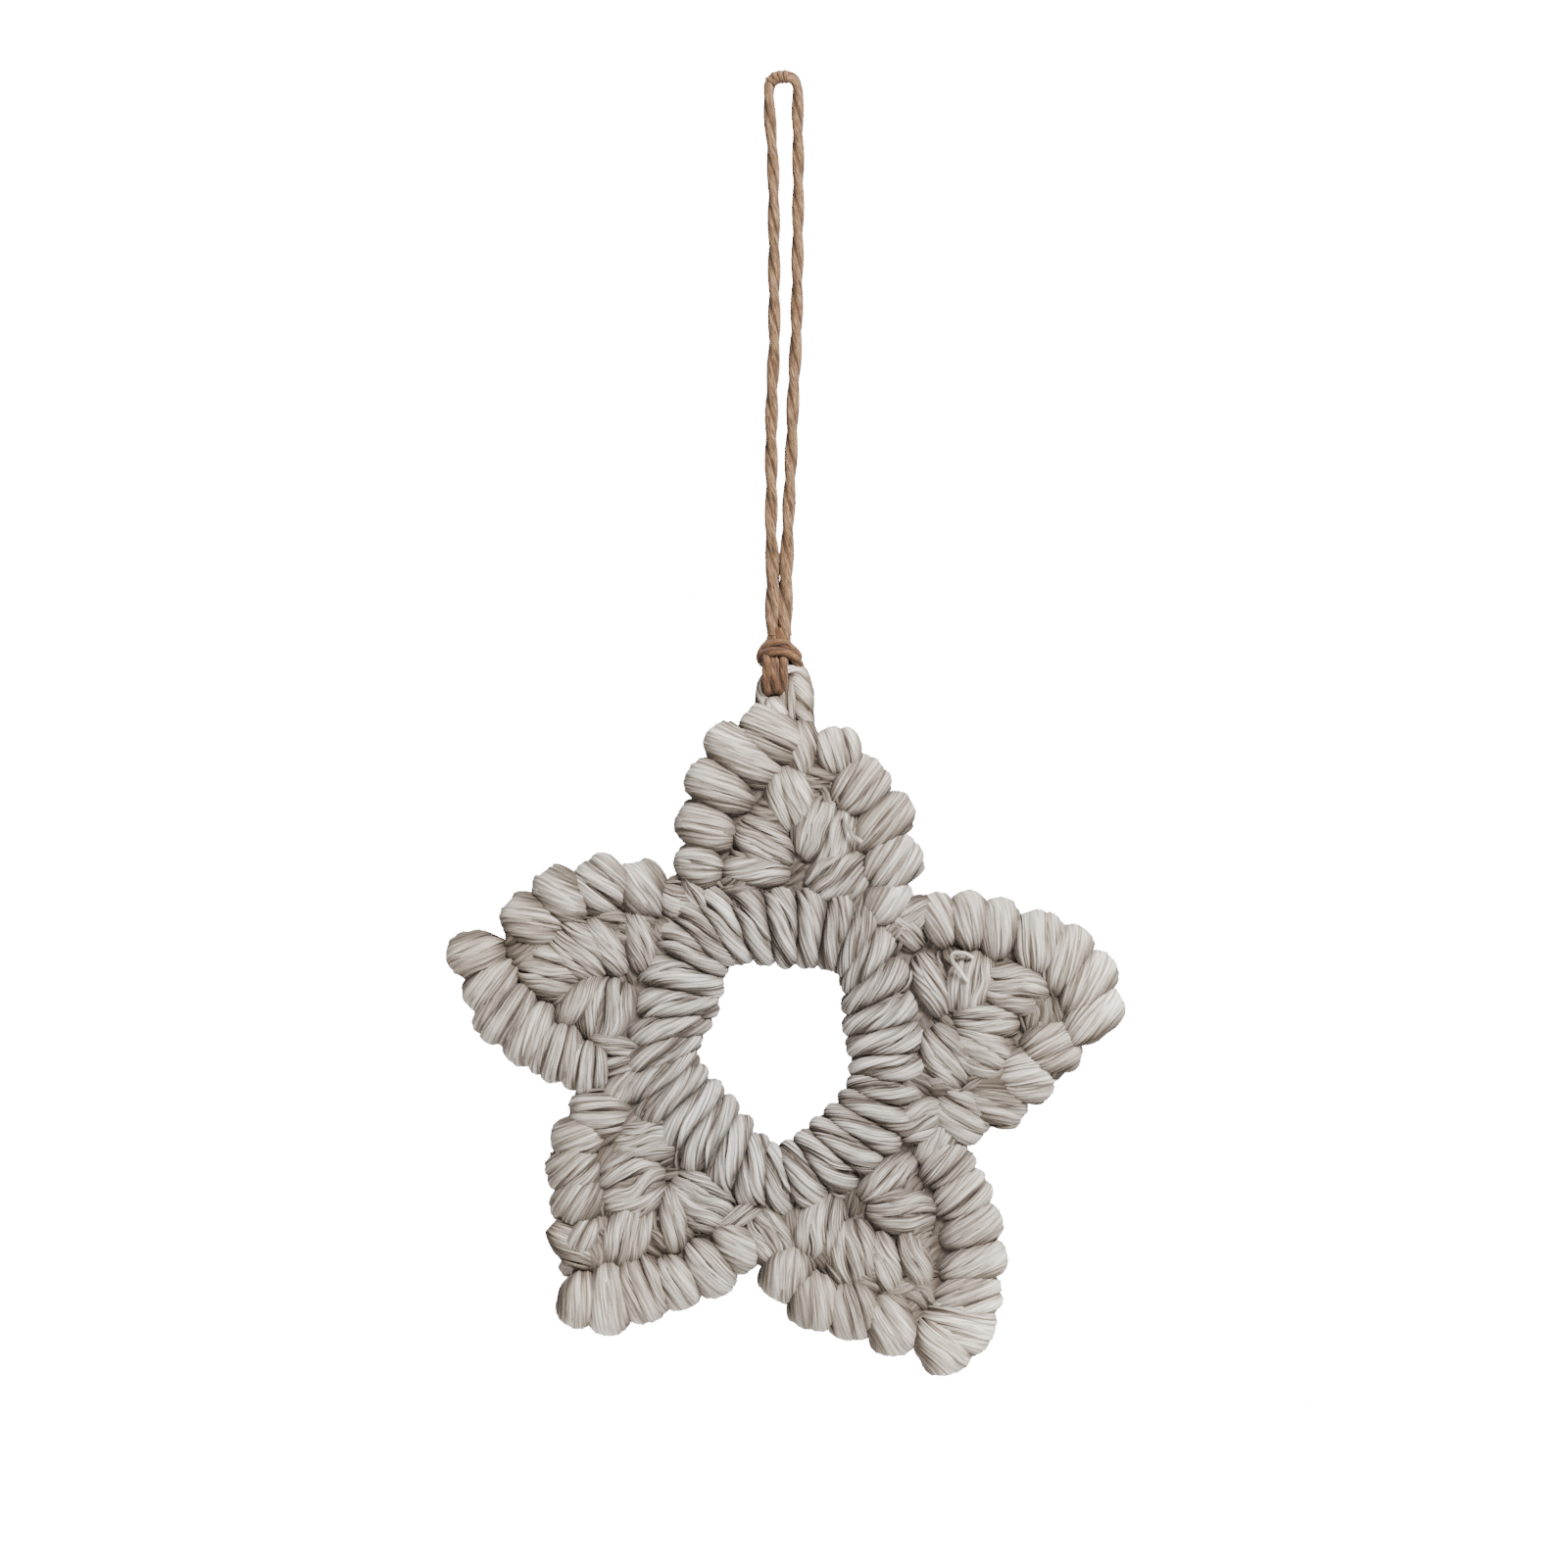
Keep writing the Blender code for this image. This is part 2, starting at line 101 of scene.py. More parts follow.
POINTS = {
    "top": Point(
        hub=(5, 0.492),
        sides=(
            Side(
                (2, 2, 2, 2, 3), -70, -54,
                ((-31, 0.557), (-23, 0.715), (-16, 0.855), (-10.8, 0.925), (-2, 0.962)),
                (11.6, 14.2, 16.3, 19.5, 16.5),
            ),
            Side((3,), -2, -2, ((7, 0.927), (14, 0.921))),
            Side(
                (3, 2, 3, 2), 48, 46,
                ((17, 0.883), (27.5, 0.804), (34.5, 0.692), (40.5, 0.535)),
                (15, 17, 15.5, 12.5),
            ),
        ),
        fan=(
            (-42, 0.116, -40, 3),
            (-85, 0.1, -83, 2),
            (0, 0.213, -2, 3),
            (41, 0.151, 38, 4),
            (93, 0.133, 68, 3),
        ),
    ),
    "right": Point(
        hub=(80, 0.481),
        sides=(
            Side((2, 2, 2), -16, 8, ((42, 0.58), (51, 0.703), (59, 0.8)), (13, 14.5)),
            Side(
                (3, 2, 2, 2), 10, 50,
                ((60, 0.808), (66, 0.896), (73.5, 0.972), (84.5, 0.985)),
                (15, 17, 16.5),
            ),
            Side((3, 3, 2, 3), 76, 135, ((85, 0.9), (96, 0.8), (105.5, 0.72), (118, 0.595)), (14.5, 14)),
        ),
        fan=(
            (-21, 0.101, -20, 2),
            (35, 0.121, 22, 3),
            (67, 0.213, 108, 3),
            (92, 0.119, 98, 2),
            (132, 0.141, 125, 3),
            (175, 0.111, 150, 3),
        ),
    ),
    "lower right": Point(
        hub=(152, 0.487),
        sides=(
            Side(
                (3, 3, 2, 2, 3), 56, 80,
                ((114.5, 0.573), (123, 0.725), (130.5, 0.857), (139.5, 0.972)),
                (13.5, 16.5),
            ),
            Side((3, 2), 112, 148, ((140, 0.99), (147.5, 1.06), (154, 1.02)), (17, 15)),
            Side(
                (2, 3, 3, 2), 160, 200,
                ((155, 0.985), (162, 0.88), (172.5, 0.81), (184, 0.67)),
                (14.5, 13.5),
            ),
        ),
        fan=(
            (52, 0.105, 55, 2),
            (103, 0.128, 100, 3),
            (135, 0.233, 165, 2),
            (156, 0.195, 170, 2),
            (185, 0.15, 182, 3),
            (235, 0.131, 205, 3),
        ),
    ),
    "lower left": Point(
        hub=(-141.5, 0.469),
        sides=(
            Side(
                (3, 2, 3, 3), -80, -133,
                ((-102, 0.57), (-112.5, 0.69), (-123, 0.765), (-132, 0.81)),
                (14.5, 13, 13, 13.5),
            ),
            Side((2,), -142, -142, ((-133, 0.825), (-137, 0.862)), (12, 12)),
            Side(
                (2, 2, 3, 2, 2, 2), 192, 135,
                ((-141.5, 0.94), (-147, 0.985), (-159.5, 0.8), (-170, 0.695), (-178, 0.57)),
                (13.5, 17, 16, 13.5, 14.5, 13),
            ),
        ),
        fan=(
            (-36, 0.127, -85, 3),
            (-97, 0.117, -93, 4),
            (-142, 0.199, -148, 3),
            (180, 0.114, 180, 2),
            (128, 0.102, 130, 3),
        ),
    ),
    "left": Point(
        hub=(-66, 0.476),
        sides=(
            Side(
                (2, 3, 2, 2), -22, -67,
                ((-34, 0.615), (-45, 0.745), (-55, 0.83), (-67.5, 0.885)),
                (13.5, 14.5),
            ),
            Side((2,), -100, -100, ((-71.6, 0.972), (-78.6, 0.957)), (13.5, 13.5)),
            Side(
                (2, 3, 2, 3, 3), -128, -165,
                ((-79, 0.905), (-87, 0.85), (-93, 0.755), (-97, 0.685), (-107, 0.53)),
                (15, 16.5, 16, 14.5, 13),
            ),
        ),
        fan=(
            (24, 0.121, -10, 2),
            (-24, 0.103, -28, 2),
            (-58, 0.147, -40, 3),
            (-84, 0.209, -60, 3),
            (-116, 0.133, -140, 2),
            (-156, 0.097, -155, 3),
        ),
    ),
}

# The ring's inner and outer edge, and the turns of cord from each place to the next
WRAPS_PER_SPAN = 3
OPENING_LINE = (
    (3.5, 0.233), (37.5, 0.273), (70, 0.203), (110.5, 0.23), (149, 0.232),
    (179.5, 0.277), (214.5, 0.195), (261.5, 0.224), (301, 0.198), (327.5, 0.269),
)
RING_LINE = (
    (3, 0.455), (35.5, 0.504), (74.5, 0.419), (112, 0.442), (142, 0.456),
    (180, 0.482), (219.5, 0.437), (254, 0.455), (290, 0.419), (328, 0.515),
)
# Stitches in the notches between the points: (bearing, share of the reach, bearing of its threads, strands)
JOINTS = (
    (4.9, 0.845, 0, 2),
    (-134, 0.8, -45, 2),
    (-33.5, 0.485, -52, 2),
    (-28, 0.48, -20, 1),
    (39.5, 0.525, -20, 2),
    (46, 0.535, 75, 2),
    (45.5, 0.49, 60, 1),
    (46, 0.5, -32, 2),
    (116.5, 0.471, 90, 3),
    (120, 0.53, 50, 2),
    (182, 0.53, 160, 3),
    (-168, 0.487, 60, 1),
    (-104.5, 0.446, -130, 2),
    (-96.5, 0.446, -95, 1),
    (-89, 0.452, -72, 1),
)

# The twine: its legs as (x in millimetres, share of the drop), and its top as (x, z) in millimetres
LEFT_LEG = (
    (-2.75, 0.022), (-2.6, 0.06), (-2.1, 0.13), (-1.9, 0.21), (-1.8, 0.38), (-1.8, 0.47), (-2.2, 0.56),
    (-2.35, 0.65), (-2.3, 0.74), (-2.4, 0.81), (-2.2, 0.87), (-2.3, 0.93), (-2.1, 1.0),
)
RIGHT_LEG = (
    (2.55, 0.022), (2.5, 0.06), (2.6, 0.13), (2.6, 0.21), (2.4, 0.38), (2.2, 0.47), (1.7, 0.56),
    (1.4, 0.65), (1.0, 0.74), (0.7, 0.81), (0.6, 0.87), (0.4, 0.93), (0.35, 1.0),
)
LOOP_TOP = ((-2.6, -0.4), (-1.8, 0.72), (-0.6, 1.08), (0.6, 1.08), (1.7, 0.72), (2.35, -0.4))
# How much thicker the uneven twine is drawn than its plain width, and the line that its legs close on below
TWINE_FULLNESS = 1.12
LEGS_MIDDLE = -0.8 * MM
# Fibres pulled tight across the twine: how many, the first one's place along the route, and their distance
RIBS = 4
FIRST_RIB = 101.9 * MM
RIB_DISTANCE = 0.95 * MM
RIB_RADIUS = 0.92 * MM
RIB_THICKNESS = 0.78 * MM

# The cord of the eye: (x, z above the star's top, width) in millimetres
EYE_ROUTE = (
    (4.3, -6.5, 4.2), (3.9, -1.3, 4.5), (3.4, 1.4, 5.0), (3.2, 3.75, 5.6),
    (2.9, 6.2, 5.1), (2.1, 8.3, 4.3), (-0.6, 8.5, 3.0), (-3.3, 7.3, 2.3),
    (-4.1, 5.0, 2.8), (-3.7, 2.8, 3.9), (-3.2, -0.5, 4.8), (-2.9, -3.9, 5.0),
)
# Threads that have come up on the front: their points and width in millimetres
RAISED_THREADS = (
    (
        (
            (33.6, -4.6, -165.0), (32.4, -5.1, -163.4), (31.1, -5.2, -161.6), (30.7, -5.0, -160.4),
            (31.4, -4.9, -159.7), (33.2, -4.6, -159.9), (34.6, -4.0, -160.6),
        ),
        0.75,
    ),
    (((11.2, -4.9, -134.2), (11.6, -5.2, -136.2), (12.6, -5.2, -138.2), (14.2, -4.9, -139.4)), 0.8),
)
# A small knot on the lower left rim: (x, z) and the radius of its loops in millimetres
SMALL_KNOT = (-39.7, -217.6)
SMALL_KNOT_RADIUS = 0.95


# Small helpers

def toward(bearing):
    """The direction of a bearing, in the star's plane."""
    angle = math.radians(bearing)
    return np.array((math.sin(angle), 0, math.cos(angle)))


def at(bearing, share, start=STAR_CENTRE):
    """The place at this bearing and share of the reach."""
    return start + toward(bearing) * share * STAR_REACH


def smooth_line(points, closed=False, steps=6):
    """Points on one smooth curve through the given ones."""
    points = [np.asarray(p, float) for p in points]
    count = len(points)
    spans = count if closed else count - 1
    line = []
    for i in range(spans):
        if closed:
            a, b, c, d = (points[(i + k) % count] for k in (-1, 0, 1, 2))
        else:
            b, c = points[i], points[i + 1]
            a = points[i - 1] if i > 0 else b * 2 - c
            d = points[i + 2] if i + 2 < count else c * 2 - b
        for step in range(steps):
            t = step / steps
            bend = (a * 2 - b * 5 + c * 4 - d) * t * t + (b * 3 - a - c * 3 + d) * t**3
            line.append(b + ((c - a) * t + bend) / 2)
    if not closed:
        line.append(points[-1])
    return np.array(line)


def distances(line):
    """How far along the line each of its points is."""
    return np.concatenate(([0], np.cumsum(np.linalg.norm(np.diff(line, axis=0), axis=1))))


def even_line(line, count):
    """The line again, as so many points at even distances."""
    along = distances(line)
    wanted = np.linspace(0, along[-1], count)
    return np.stack([np.interp(wanted, along, line[:, k]) for k in range(3)], axis=1)


def length_of(line):
    return float(np.linalg.norm(np.diff(line, axis=0), axis=1).sum())


def unit(rows):
    return rows / np.maximum(np.linalg.norm(rows, axis=-1, keepdims=True), 1e-12)


def ease(x):
    """0 below 0, 1 above 1, and a smooth step between."""
    x = np.clip(x, 0, 1)
    return x * x * (3 - 2 * x)


def wander(t, size, waves=3):
    """A smooth random wobble along t, of about this size."""
    value = np.zeros_like(t)
    for k in range(1, waves + 1):
        value += np.sin(math.tau * (k * t * 0.7 + rng.random())) * rng.normal() / k
    return value * size


# Mesh pieces: a bag collects swept strands, then becomes one mesh with its shade and thread directions

class Bag:
    """Grids of points, each with its shade, tone and thread directions, which become one mesh piece."""

    def __init__(self):
        self.verts, self.quads, self.shade, self.thread, self.tone = [], [], [], [], []
        self.count = 0

    def add(self, grid, shade, thread, tone, wrap_along=False, wrap_across=False):
        rows, cols = grid.shape[:2]
        index = np.arange(rows * cols).reshape(rows, cols) + self.count
        if wrap_along:
            index = np.vstack((index, index[:1]))
        if wrap_across:
            index = np.hstack((index, index[:, :1]))
        a, b, c, d = index[:-1, :-1], index[1:, :-1], index[1:, 1:], index[:-1, 1:]
        self.quads.append(np.stack((a, b, c, d), axis=-1).reshape(-1, 4))
        self.verts.append(grid.reshape(-1, 3))
        self.shade.append(np.broadcast_to(shade, (rows, cols)).reshape(-1))
        self.thread.append(thread.reshape(-1, 3))
        self.tone.append(np.full(rows * cols, tone))
        self.count += rows * cols

    def piece(self, name, material, slot):
        verts, quads = np.concatenate(self.verts), np.concatenate(self.quads)
        mesh = bpy.data.meshes.new(name)
        mesh.vertices.add(len(verts))
        mesh.vertices.foreach_set("co", verts.astype(np.float32).ravel())
        mesh.loops.add(quads.size)
        mesh.loops.foreach_set("vertex_index", quads.astype(np.int32).ravel())
        mesh.polygons.add(len(quads))
        mesh.polygons.foreach_set("loop_start", np.arange(0, quads.size, 4, dtype=np.int32))
        mesh.polygons.foreach_set("use_smooth", np.ones(len(quads), bool))
        mesh.update(calc_edges=True)
        for label, kind, key, values in (
            ("shade", "FLOAT", "value", self.shade),
            ("tone", "FLOAT", "value", self.tone),
            ("thread", "FLOAT_VECTOR", "vector", self.thread),
        ):
            data = mesh.attributes.new(label, kind, "POINT").data
            data.foreach_set(key, np.concatenate(values).astype(np.float32).ravel())
        mesh.validate()
        mesh.materials.append(material)
        made = bpy.data.objects.new(name, mesh)
        bpy.context.scene.collection.objects.link(made)
        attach(made, "root")
        return made


def sweep(
    bag, centres, out, side, widths, heights, lobes, span, twist, shade, tone,
    groove=0.12, relief=1.0, within_bundle=None, flank_shade=FLANK_SHADE,
):
    """A ply of threads along the centres. out and side are the directions of its face and its breadth.

    The widths are whole, and the heights are from the middle to the face.
    """
    rows = len(centres)
    full = span >= 360
    cols = lobes * POINTS_PER_THREAD + (0 if full else 1)
    t = np.linspace(0, 1, rows)
    # Threads of uneven breadth
    breadth = np.cumsum(np.concatenate(([0], rng.uniform(0.65, 1.35, lobes))))
    edges = breadth / breadth[-1]
    within = np.arange(cols) / POINTS_PER_THREAD
    base = np.radians(-span / 2 + span * np.interp(within, np.arange(lobes + 1), edges))
    thread_no = np.arange(cols) // POINTS_PER_THREAD
    valley = np.arange(cols) % POINTS_PER_THREAD == 0
    # Each thread has its own height and tone, and each groove its own depth
    lift = rng.normal(0, 0.04, lobes + 1)[thread_no]
    deep = (groove * rng.choice((0.4, 0.75, 1.1, 1.6), lobes + 1, p=(0.32, 0.36, 0.25, 0.07)))[thread_no]
    light = rng.normal(0, 0.09, lobes + 1)[thread_no]
    if full:
        lift[thread_no == lobes] = lift[0]
    # The threads wander along the ply, together and each at its own pace
    wave = wander(t, math.radians(span / lobes) * 0.35)
    pace, start = rng.uniform(0.5, 1.6, lobes + 1), rng.random(lobes + 1)
    pace[lobes], start[lobes] = pace[0], start[0]
    own = np.sin(math.tau * (t[:, None] * pace[thread_no] + start[thread_no]))
    theta = base[None, :] + (math.radians(twist) * (t - 0.5) + wave)[:, None]
    theta = theta + own * math.radians(span / lobes) * 0.22
    # The section at each place, with a crest or a groove at each point of it
    deep = deep[None, :] * (0.75 + 0.6 * own) * np.broadcast_to(relief, (rows,))[:, None]
    across = np.where(valley[None, :], 1 - deep, 1 + lift[None, :])
    swell = 1 + 0.025 * np.sin(math.tau * (t[:, None] * rng.uniform(1, 2) + thread_no[None, :] * 0.37))
    across = across * np.where(valley[None, :], 1, swell)
    x = widths[:, None] / 2 * across * np.sin(theta)
    y = heights[:, None] * across * np.cos(theta)
    grid = centres[:, None, :] + x[..., None] * side[:, None, :] + y[..., None] * out[:, None, :]
    # Painted shade: darker in the grooves, between the plies and on the bundle's flanks
    under = crease_shade(grid, within_bundle, flank_shade) if within_bundle else 0
    depth_shade = np.where(valley[None, :], 1 - np.clip(0.08 + deep * 2.4, 0, 0.7), 1 + light[None, :])
    seen = 0.84 * shade[:, None] * depth_shade * (1 - 0.75 * under)
    # How far across and along the threads each point is, for the material
    size = 2 * math.pi * np.mean(widths) / 2
    run = distances(centres)
    thread = np.stack(
        (
            np.broadcast_to(base / math.tau * size, (rows, cols)),
            np.broadcast_to(run[:, None], (rows, cols)),
            np.full((rows, cols), rng.random() * 3),
        ),
        axis=-1,
    )
    bag.add(grid, seen, thread, tone, wrap_across=full)


def crease_shade(grid, within_bundle, flank_shade):
    """How much painted shade each point gets, from 0 to 1, as it lies deep between the plies of its bundle or
    on the bundle's flanks.
    """
    middle, side, out, half_width, half_height = within_bundle
    from_middle = grid - middle[:, None, :]
    sideways = np.einsum("ijk,ik->ij", from_middle, side) / half_width[:, None]
    outward = np.einsum("ijk,ik->ij", from_middle, out) / half_height[:, None]
    crease = ease((0.99 - np.hypot(sideways, outward)) / 0.25)
    flank = ease((np.abs(sideways) - 0.42) / 0.58)
    return 1 - (1 - crease) * (1 - np.broadcast_to(flank_shade, (len(grid),))[:, None] * flank)


def path_frames(line):
    """Directions out of and beside a free line, carried along it with no sudden turn."""
    tangent = unit(np.gradient(line, axis=0))
    out = np.zeros_like(line)
    start = np.array((0.0, -1.0, 0.0))
    for i, along in enumerate(tangent):
        start = start - along * start.dot(along)
        start = start / np.linalg.norm(start)
        out[i] = start
    return out, np.cross(tangent, out)


def bundle(
    bag, line, out, half_width, half_height, apart, twist, shade, tone,
    phase=0.0, lobes=14, cover=105, thread_twist=45, full=1.0, relief=1.0, flank_shade=FLANK_SHADE,
):
    """Plies side by side round a flattened cord, which turn about it. apart, twist and cover in degrees."""
    t = np.linspace(0, 1, len(line))
    tangent = unit(np.gradient(line, axis=0))
    side = unit(np.cross(tangent, out))
    out = unit(np.cross(side, tangent))
    if cover >= 180:
        numbers = range(round(360 / apart))
    else:
        most = cover + abs(twist) / 2
        numbers = range(math.ceil((-most - phase) / apart), math.floor((most - phase) / apart) + 1)
    share = min(0.57, 0.76 * math.sin(math.radians(apart / 2)))
    inner_core(bag, line, side, out, half_width, half_height, shade)
    for k in numbers:
        degrees = phase + apart * k + rng.normal(0, 3) - twist * (t - 0.5) + wander(t, 4)
        if cover < 180 and np.min(np.abs(degrees)) > cover:
            continue
        angle = np.radians(degrees)
        wide = half_width * share * full * rng.uniform(0.93, 1.1)
        high = half_height * 0.56 * rng.uniform(0.95, 1.05)
        lift = 1 + rng.normal(0, 0.04)
        if cover < 180:
            behind = 1 - 0.75 * ease((np.abs(degrees) - 85) / 50)
            wide, high = wide * behind, high * behind
        sine, cosine = np.sin(angle)[:, None], np.cos(angle)[:, None]
        centres = line + (half_width - wide)[:, None] * lift * sine * side
        centres = centres + (half_height - high)[:, None] * lift * cosine * out
        normal = unit(sine / half_width[:, None] * side + cosine / half_height[:, None] * out)
        beside = unit(np.cross(tangent, normal))
        # Painted shade: plies turned toward the back of the bundle are darker
        round_shade = 0.8 + 0.2 * ease((np.cos(angle) + 0.5) / 0.9)
        turn = -math.copysign(thread_twist, twist) * rng.uniform(0.6, 1.3)
        sweep(
            bag, centres, normal, beside, wide * 2, high, lobes, PLY_SPAN, turn, shade * round_shade,
            tone + rng.normal(0, 0.12), relief=relief, flank_shade=flank_shade,
            within_bundle=(line, side, out, half_width, half_height),
        )


def inner_core(bag, line, side, out, half_width, half_height, shade):
    """The plain middle of a bundle, which closes the gaps between its plies, drawn dark as painted shade
    between them.
    """
    angle = np.linspace(0, math.tau, 8, endpoint=False)
    x = 0.8 * half_width[:, None] * np.sin(angle)
    y = 0.72 * half_height[:, None] * np.cos(angle)
    grid = line[:, None, :] + x[..., None] * side[:, None, :] + y[..., None] * out[:, None, :]
    thread = np.stack((x, np.broadcast_to(np.arange(len(line))[:, None] * MM, x.shape), x * 0), axis=-1)
    bag.add(grid, 0.42 * shade[:, None] * np.ones(8), thread, 0.3, wrap_across=True)


# Stitches

def fuller(value):
    """A sine made blunter, so that a turn is fuller than an ellipse."""
    return np.sign(value) * np.abs(value) ** 0.86


def border_stitch(bag, rim_place, lean, depth, width, strands, tone, rows=24):
    """A stitch from the front of the star, over its rim and down the back."""
    phi = np.radians(np.linspace(BORDER_WRAP, -BORDER_WRAP, rows))
    from_end = BORDER_WRAP - np.abs(np.degrees(phi))
    near_tip = ease(from_end / 80)
    over_rim = np.clip(np.cos(phi), 0, 1) ** 2
    full_height = 2.6 * MM
    height = full_height * (0.6 + 0.4 * near_tip) + 0.9 * MM * over_rim
    # The half axes of the flat loop that the middle of the stitch follows
    a, b = depth / 2 - 3.0 * MM, BORDER_HALF - full_height + slack()
    axis = toward(lean)
    middle = rim_place - axis * (depth / 2 - 0.2 * MM)
    s, y = a * np.cos(phi) - 0.5 * MM * over_rim, -b * np.sin(phi)
    line = middle + s[:, None] * axis
    line[:, 1] += y
    normal = unit(np.stack((s / a**2, y / b**2), axis=1))
    out = normal[:, :1] * axis + normal[:, 1:] * np.array((0, 1.0, 0))
    half_width = width / 2 * (0.52 + 0.48 * near_tip)
    # Painted shade: darker towards the ends, where the stitch goes into the star, with less shade on the
    # flanks over the rim
    shade = 0.34 + 0.66 * ease(from_end / 62)
    apart = PLY_SPACING[strands]
    twist = 112 * rng.uniform(0.75, 1.25)
    phase = (0 if strands % 2 else apart / 2) - twist * 0.22 + rng.normal(0, 6)
    bundle(
        bag, line, out, half_width, height, apart, twist, shade, tone, phase=phase, lobes=12,
        full=1 + 0.18 * over_rim, relief=1 - 0.65 * over_rim,
        flank_shade=FLANK_SHADE * (1 - 0.8 * np.clip(np.cos(phi), 0, 1)),
    )


def flat_stitch(
    bag, middle, lean, length, half, width, strands, tone, front,
    rows=16, low=0.45, deep=2.3 * MM, dim=1.0, lobes=14,
):
    """A stitch that lies on one face of the star, sunk at both ends."""
    t = np.linspace(0, 1, rows)
    hump = np.sin(math.pi * (0.04 + 0.92 * t)) ** 0.7
    face = -1.0 if front else 1.0
    axis = toward(lean)
    height = deep * (0.62 + 0.38 * hump)
    line = middle + ((t - 0.5) * (length - 1.4 * MM))[:, None] * axis
    rise = (half - deep) * (low + (1 - low) * hump)
    line[:, 1] += face * rise
    slope = np.gradient(rise) / (length / rows)
    out = unit(np.array((0, face, 0)) - slope[:, None] * axis)
    half_width = width / 2 * (0.46 + 0.54 * hump) * (0.94 + 0.12 * t)
    # Painted shade: darker towards the sunk ends, and dimmed as a whole by dim
    shade = dim * (0.34 + 0.66 * ease(hump * 1.15 - 0.08))
    apart = PLY_SPACING[strands]
    twist = 70 * rng.uniform(0.6, 1.3)
    phase = (0 if strands % 2 else apart / 2) + rng.normal(0, 6)
    bundle(bag, line, out, half_width, height, apart, twist, shade, tone, phase=phase, lobes=lobes)


def point_along(line, distance):
    """The place this far along the line."""
    along = distances(line)
    return np.array([np.interp(distance, along, line[:, k]) for k in range(3)])


def border_places(point):
    """Each border stitch's place on the rim, bearing, depth, width and strands."""
    for side in point.sides:
        rim = smooth_line([at(*place) for place in side.rim])
        count = len(side.strands)
        step = length_of(rim) / count
        for i, strands in enumerate(side.strands):
            share = i / max(1, count - 1)
            lean = side.first_lean + (side.last_lean - side.first_lean) * share
            depth = np.interp(share, np.linspace(0, 1, len(side.depths)), side.depths) * MM
            yield point_along(rim, (i + 0.5) * step), lean, depth, step, strands


def slack():
    """How far a stitch stands out, or with a minus is pulled in."""
    return rng.uniform(-0.25, 0.15) * MM


def any_tone():
    return float(np.clip(rng.normal(0.5, 0.16), 0, 1))


def build_point(point):
    """One point: its border over the rim, and on each face its fan over strands darkened with painted shade.
    """
    bag = Bag()
    for rim_place, lean, depth, step, strands in border_places(point):
        border_stitch(bag, rim_place, lean, depth, step * 1.34, strands, any_tone())
    hub = at(*point.hub)
    for front in (True, False):
        # Strands deep between the border and the fan, darkened with painted shade: a low tone and a dim
        for rim_place, lean, depth, step, _ in border_places(point):
            middle = rim_place - toward(lean) * (depth + 1.5 * MM)
            flat_stitch(
                bag, middle, lean + rng.normal(0, 12), 9 * MM, 3.5 * MM, step * 1.5, 3, 0.2, front,
                rows=9, deep=1.9 * MM, dim=0.62, lobes=6,
            )
        # A stitch in the hub, low in tone and dimmed: painted shade in the hollow there
        flat_stitch(
            bag, hub, point.hub[0] + 62, 9 * MM, 2.7 * MM, 5.4 * MM, 3, 0.25, front,
            rows=9, deep=1.8 * MM, dim=0.42, lobes=6,
        )
        for bearing, share, lean, strands in point.fan:
            middle = at(bearing, share, hub)
            width = strands * STRAND_WIDTH * 1.2
            length = FAN_LENGTH * rng.uniform(0.98, 1.06)
            flat_stitch(bag, middle, lean, length, FAN_HALF, width, strands, any_tone(), front)
    return bag


def ring_ends():
    """The inner and outer end of each turn of the ring."""
    inner = smooth_line([at(*place) for place in OPENING_LINE], True, WRAPS_PER_SPAN)
    outer = smooth_line([at(*place) for place in RING_LINE], True, WRAPS_PER_SPAN)
    return list(zip(inner, outer))


def build_ring():
    """Turns of three-ply cord, each over the front, through the opening and back behind the ring."""
    bag = Bag()
    ends = ring_ends()
    first, last = -0.29, 0.79
    turns = np.linspace(first, last, 40)
    phi = turns * math.tau
    dive = 1 - ease(np.minimum(turns - first, last - turns) / 0.045)
    phase = 0.0
    for i, (inner, outer) in enumerate(ends):
        before, after = ends[i - 1], ends[(i + 1) % len(ends)]
        inner_gap = np.linalg.norm(after[0] - before[0]) / 2
        outer_gap = np.linalg.norm(after[1] - before[1]) / 2
        axis = unit(outer - inner)
        inner = inner - 0.4 * MM * axis
        cross = np.array((axis[2], 0, -axis[0]))
        height = 2.2 * MM
        # The half axes of the loop that the middle of the turn follows
        a = np.linalg.norm(outer - inner) * 0.53 - height
        b = RING_HALF - height + slack()
        s, y = a * fuller(np.cos(phi)), -(b - 1.4 * MM * dive) * fuller(np.sin(phi))
        gap = inner_gap + (outer_gap - inner_gap) * (s / a + 1) / 2
        beside = -0.9 * MM * np.cos(phi)
        line = (inner + outer) / 2 + s[:, None] * axis + beside[:, None] * cross
        line[:, 1] += y
        normal = unit(np.stack((s / a**2, y / b**2), axis=1))
        out = normal[:, :1] * axis + normal[:, 1:] * np.array((0, 1.0, 0))
        half_width = np.maximum(gap, 4.0 * MM) / 2 * 1.3
        # Painted shade: each turn darker at its outer end, between the faces, where the points cover it
        shade = 1 - 0.3 * np.clip(np.cos(phi), 0, 1) ** 3
        phase += rng.normal(8, 22)
        bundle(
            bag, line, out, half_width, np.full(len(phi), height), 120, 480, shade, any_tone(),
            phase=phase, lobes=12, cover=360, thread_twist=60,
        )
    return bag


def build_joints():
    """The stitches in the notches, on both faces."""
    bag = Bag()
    for bearing, share, lean, strands in JOINTS:
        width = (strands + 0.6) * STRAND_WIDTH
        for front in (True, False):
            flat_stitch(
                bag, at(bearing, share), lean, 11.5 * MM, 3.9 * MM, width, max(2, strands), 0.25, front,
                rows=12, low=0.7, deep=2.0 * MM, lobes=11,
            )
    return bag


